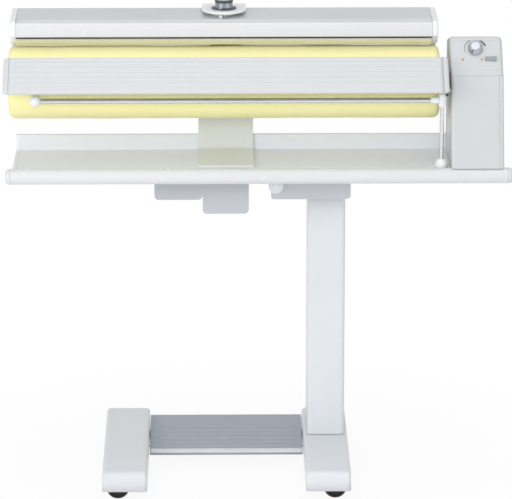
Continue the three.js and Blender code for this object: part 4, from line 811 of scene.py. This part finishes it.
def speedMark(s):
    t = np.linspace(0, 1, s["points"])[:, None]
    angle = np.radians(s["start"] + (s["end"] - s["start"]) * t)
    half = (s["thin"] + (s["thick"] - s["thin"]) * t) / 2
    side = np.array([-1, 1, 1, -1])
    height = np.array([0, 0, 1, 1]) * s["height"] + s["rise"]
    r = s["radius"] + half * side
    a, b = s["centre"][0] + r * np.cos(angle), s["centre"][1] + r * np.sin(angle)
    piece = gridPiece("speed_mark", np.stack(onPanel(a, b, height + 0 * a), -1), closedV=True, ends=True)
    dressed(piece, "ironing_unit", "grey_plastic", material="dark_print")


speedMark(markSettings)
print("controls dressed")

# The feed board: its section has a rounded nose in front. On the upper face stand five low reeds: u reed
# widths from a reed's middle the face is higher by reedHeight * (1 - u squared) squared * fade, where fade
# falls smoothly to zero over the border's width towards both ends.
boardSettings = dict(
    length=86.2, thickness=8, left=-407.7, right=414.7, radius=3, flatFrom=5, step=0.5, tolerance=0.01,
    reeds=(20, 32.7, 45.4, 58.1, 70.8), reedWidth=2.2, reedHeight=0.9,
    borderLeft=-400, borderRight=405, border=6, fineOutside=3, fineInside=9, finePoints=25,
    coarseInside=20, coarsePoints=40,
)


def boardSection(s):
    length, thickness, radius = s["length"], s["thickness"], s["radius"]
    flat = s["flatFrom"], length - s["flatFrom"]
    around = roundedLine([
        [flat[0], 0], [0, 0, radius], [0, thickness, radius], [length, thickness, radius],
        [length, 0, radius], [flat[1], 0],
    ], closed=False)
    across = np.arange(flat[1] - s["step"], flat[0], -s["step"])
    return np.vstack([around, np.stack([across, 0 * across], -1)])


def feedBoard(s):
    section = boardSection(s)
    low, high = s["borderLeft"], s["borderRight"]
    x = np.concatenate([
        [s["left"]], np.linspace(low - s["fineOutside"], low + s["fineInside"], s["finePoints"]),
        np.linspace(low + s["coarseInside"], high - s["coarseInside"], s["coarsePoints"]),
        np.linspace(high - s["fineInside"], high + s["fineOutside"], s["finePoints"]), [s["right"]],
    ])
    height = np.zeros(len(section))
    for start in s["reeds"]:
        fromMiddle = (section[:, 0] - start - s["reedWidth"] / 2) / s["reedWidth"]
        height += np.clip(1 - fromMiddle ** 2, 0, 1) ** 2
    height *= section[:, 1] < s["tolerance"]
    fade = np.clip(np.minimum(x - low, high - x) / s["border"], 0, 1)
    fade = fade * fade * (3 - 2 * fade)
    rise = s["reedHeight"] * height * fade[:, None]
    a, b = section[:, 0] + 0 * rise, section[:, 1] - rise
    points = np.stack(onBoard(a, b, x[:, None] + 0 * rise), -1)
    piece = gridPiece("board_face", points, closedV=True, ends=True)
    dressed(piece, "ironing_unit", "white_plastic", ["board_panel"], "board_plastic")


feedBoard(boardSettings)
boardEndSettings = [
    dict(name="board_tip_left", node="board_end_cap_left", start=-418, end=-408,
         edges=((7, 3), (0.4, 0.4))),
    dict(name="board_tip_right", node="board_end_cap_right", start=415, end=425,
         edges=((0.4, 0.4), (7, 3))),
]
for s in boardEndSettings:
    section = boardSection(boardSettings)
    piece = barPiece(s["name"], section, s["start"], s["end"], onBoard, s["edges"], steps=7)
    dressed(piece, "ironing_unit", "white_plastic", [s["node"]], "board_plastic")
print("board dressed")

# The feet: one line over the nose, along the rising top and down the back, carried across the foot with
# rounded upper edges, as a channel open below.
footSettings = dict(
    width=87.5, wall=3, middles=dict(left=-195, right=200), edges=((7, 7), (7, 7)),
    line=[[-190, 26], [-182, 62, 14], [190, 75, 8], [190, 26]],
)


def feet(s):
    line = roundedLine(s["line"], closed=False, steps=8)
    for side, x in s["middles"].items():
        start, end = x - s["width"] / 2, x + s["width"] / 2
        piece = barPiece(f"foot_shell_{side}", line, start, end, alongX, s["edges"], closed=False, steps=6)
        dressed(walled(piece, s["wall"]), "stand", "stand_paint", [f"{side}_foot"])


feet(footSettings)

# A light strip along the pedal's front edge, whose light metal colour is a painted highlight on the rounded
# nose.
noseHighlightSettings = dict(
    left=-148.25, right=153.25, edges=((0.6, 0.6), (0.6, 0.6)),
    corners=[[27.4, 31.2, 0.8], [31, 31.2, 0.8], [34, 38.9, 0.8], [30.4, 38.9, 2.6], [27.4, 36.4, 1.5]],
)


def pedalNoseHighlight(s):
    piece = barPiece("pedal_nose_highlight", roundedLine(s["corners"]), s["left"], s["right"], alongX, s["edges"])
    dressed(piece, "pedal", "pedal_finish", material="pedal_nose_highlight")


# The pedal: up its nose, over six low ribs, along the smooth rear part and down, as a channel that is open
# below and at both sides. At distance d from a rib's middle the sloping top is higher by
# ribHeight * (1 - (d / ribReach) squared) to the power of ribPower.
pedalSettings = dict(
    left=-149.75, right=154.75, frontY=28, rearY=180, frontTop=37, rearTop=63, under=27, rearUnder=43,
    corner=4, topFrom=6, topTo=5, step=0.6, ribStart=42, ribPitch=16.5, ribs=6, ribHeight=2.2, ribWidth=5,
    ribReach=3, ribPower=1.5, wall=3, edges=((1, 0.8), (1, 0.8)),
)


def footPedal(s):
    slope = (s["rearTop"] - s["frontTop"]) / (s["rearY"] - s["frontY"])
    y = np.arange(s["frontY"] + s["topFrom"], s["rearY"] - s["topTo"], s["step"])
    z = s["frontTop"] + (y - s["frontY"]) * slope
    for k in range(s["ribs"]):
        middleY = s["ribStart"] + k * s["ribPitch"] + s["ribWidth"] / 2
        share = np.clip(1 - ((y - middleY) / s["ribReach"]) ** 2, 0, 1)
        z = z + share ** s["ribPower"] * s["ribHeight"]
    top = np.stack([y, z], -1)
    nose = [[s["frontY"], s["under"]], [s["frontY"], s["frontTop"], s["corner"]], list(top[0])]
    back = [list(top[-1]), [s["rearY"], s["rearTop"], s["corner"]], [s["rearY"], s["rearUnder"]]]
    line = np.vstack([roundedLine(nose, closed=False)[:-1], top, roundedLine(back, closed=False)[1:]])
    piece = barPiece(
        "pedal_plate", line, s["left"], s["right"], alongX, s["edges"], closed=False, ends=False)
    dressed(walled(piece, s["wall"], even=False), "pedal", "pedal_finish", ["foot_pedal"])


pedalNoseHighlight(noseHighlightSettings)
footPedal(pedalSettings)
print("stand dressed")


# Two values: whether a ray shows the thing itself, to the camera, in a mirror or through a lens, instead of
# lighting another one, and whether it is a mirror's ray.
def rayKinds(tree):
    rays = tree.nodes.new("ShaderNodeLightPath")
    glossy = rays.outputs["Is Glossy Ray"]
    bent = joined(tree, "MAXIMUM", glossy, rays.outputs["Is Transmission Ray"])
    return joined(tree, "MAXIMUM", rays.outputs["Is Camera Ray"], bent), glossy


# The floor is a flat square grid at z = 0: plain pale paint that takes the object's shadow near it, and
# with distance it turns into the white of the background.
stageSettings = dict(
    floorHalf=30000, floorColor=(0.93, 0.93, 0.93), rough=0.9, specular=0, white=1,
    clearFrom=0.3, clearTo=0.9, leastClear=0.92,
)


def stageFloor(s):
    side = np.linspace(-s["floorHalf"], s["floorHalf"], 3)
    x, y = np.meshgrid(side, side, indexing="ij")
    floor = gridPiece("floor", np.stack([x, y, 0 * x], -1))
    material, tree, shader = newMaterial("floor_paint")
    shader.inputs["Base Color"].default_value = (*s["floorColor"], 1)
    shader.inputs["Roughness"].default_value = s["rough"]
    shader.inputs["Specular IOR Level"].default_value = s["specular"]
    distance = tree.nodes.new("ShaderNodeVectorMath")
    distance.operation = "LENGTH"
    tree.links.new(objectPoints(tree, (1, 1, 0)), distance.inputs[0])
    clear = span(
        tree, distance.outputs["Value"], s["clearFrom"], s["clearTo"], s["leastClear"], smooth=True)
    white = addNode(tree, "ShaderNodeEmission", Strength=s["white"])
    mix = tree.nodes.new("ShaderNodeMixShader")
    seen = rayKinds(tree)[0]
    tree.links.new(joined(tree, "MULTIPLY", seen, clear), mix.inputs["Fac"])
    tree.links.new(shader.outputs["BSDF"], mix.inputs[1])
    tree.links.new(white.outputs["Emission"], mix.inputs[2])
    tree.links.new(mix.outputs["Shader"], tree.nodes["Material Output"].inputs["Surface"])
    floor.data.materials.append(material)


# Everything is lit evenly from all around and stands before plain white. The unlit front of the studio
# shows as a dark band in polished metal alone.
worldSettings = dict(
    light=0.56, lightColor=(1, 1, 1), white=1, frontFrom=-0.5, frontTo=-0.8,
    bandHeight=0.3, bandHalf=0.24, bandDepth=0.95,
)


def makeWorld(s):
    world = bpy.data.worlds.new("studio")
    bpy.context.scene.world = world
    world.use_nodes = True
    tree = world.node_tree
    tree.nodes.clear()
    seen, glossy = rayKinds(tree)
    room = addNode(tree, "ShaderNodeBackground", Color=(*s["lightColor"], 1), Strength=s["light"])
    white = addNode(tree, "ShaderNodeBackground")
    direction = tree.nodes.new("ShaderNodeSeparateXYZ")
    tree.links.new(tree.nodes.new("ShaderNodeTexCoord").outputs["Generated"], direction.inputs[0])
    ahead = span(tree, direction.outputs["Y"], s["frontFrom"], s["frontTo"])
    fromBand = joined(tree, "SUBTRACT", direction.outputs["Z"], s["bandHeight"])
    band = span(tree, joined(tree, "ABSOLUTE", fromBand, 0), s["bandHalf"], 0)
    dim = joined(tree, "MULTIPLY", joined(tree, "MULTIPLY", ahead, band),
                 joined(tree, "MULTIPLY", glossy, s["bandDepth"]))
    tree.links.new(joined(tree, "SUBTRACT", s["white"], dim), white.inputs["Strength"])
    mix = tree.nodes.new("ShaderNodeMixShader")
    out = tree.nodes.new("ShaderNodeOutputWorld")
    tree.links.new(seen, mix.inputs["Fac"])
    tree.links.new(room.outputs[0], mix.inputs[1])
    tree.links.new(white.outputs[0], mix.inputs[2])
    tree.links.new(mix.outputs["Shader"], out.inputs["Surface"])


lampSettings = [
    dict(name="top_lamp", place=(0.3, -0.6, 3.2), aim=(0, 0, 0.7), size=2.4, power=14),
    dict(name="front_lamp", place=(-0.4, -4.2, 2.2), aim=(0, 0, 0.6), size=2.6, power=66, glossy=False),
    dict(name="left_lamp", place=(-2.9, -2.4, 1.7), aim=(0, 0, 0.6), size=1.8, power=28),
]


def makeLamp(s):
    data = bpy.data.lights.new(s["name"], "AREA")
    data.shape = "DISK"
    data.size = s["size"]
    data.energy = s["power"]
    lamp = bpy.data.objects.new(s["name"], data)
    bpy.context.scene.collection.objects.link(lamp)
    lamp.location = s["place"]
    lamp.visible_glossy = s.get("glossy", True)
    lamp.rotation_euler = (Vector(s["aim"]) - Vector(s["place"])).to_track_quat("-Z", "Y").to_euler()


stageFloor(stageSettings)
makeWorld(worldSettings)
for settings in lampSettings:
    makeLamp(settings)
print("stage and lamps set")
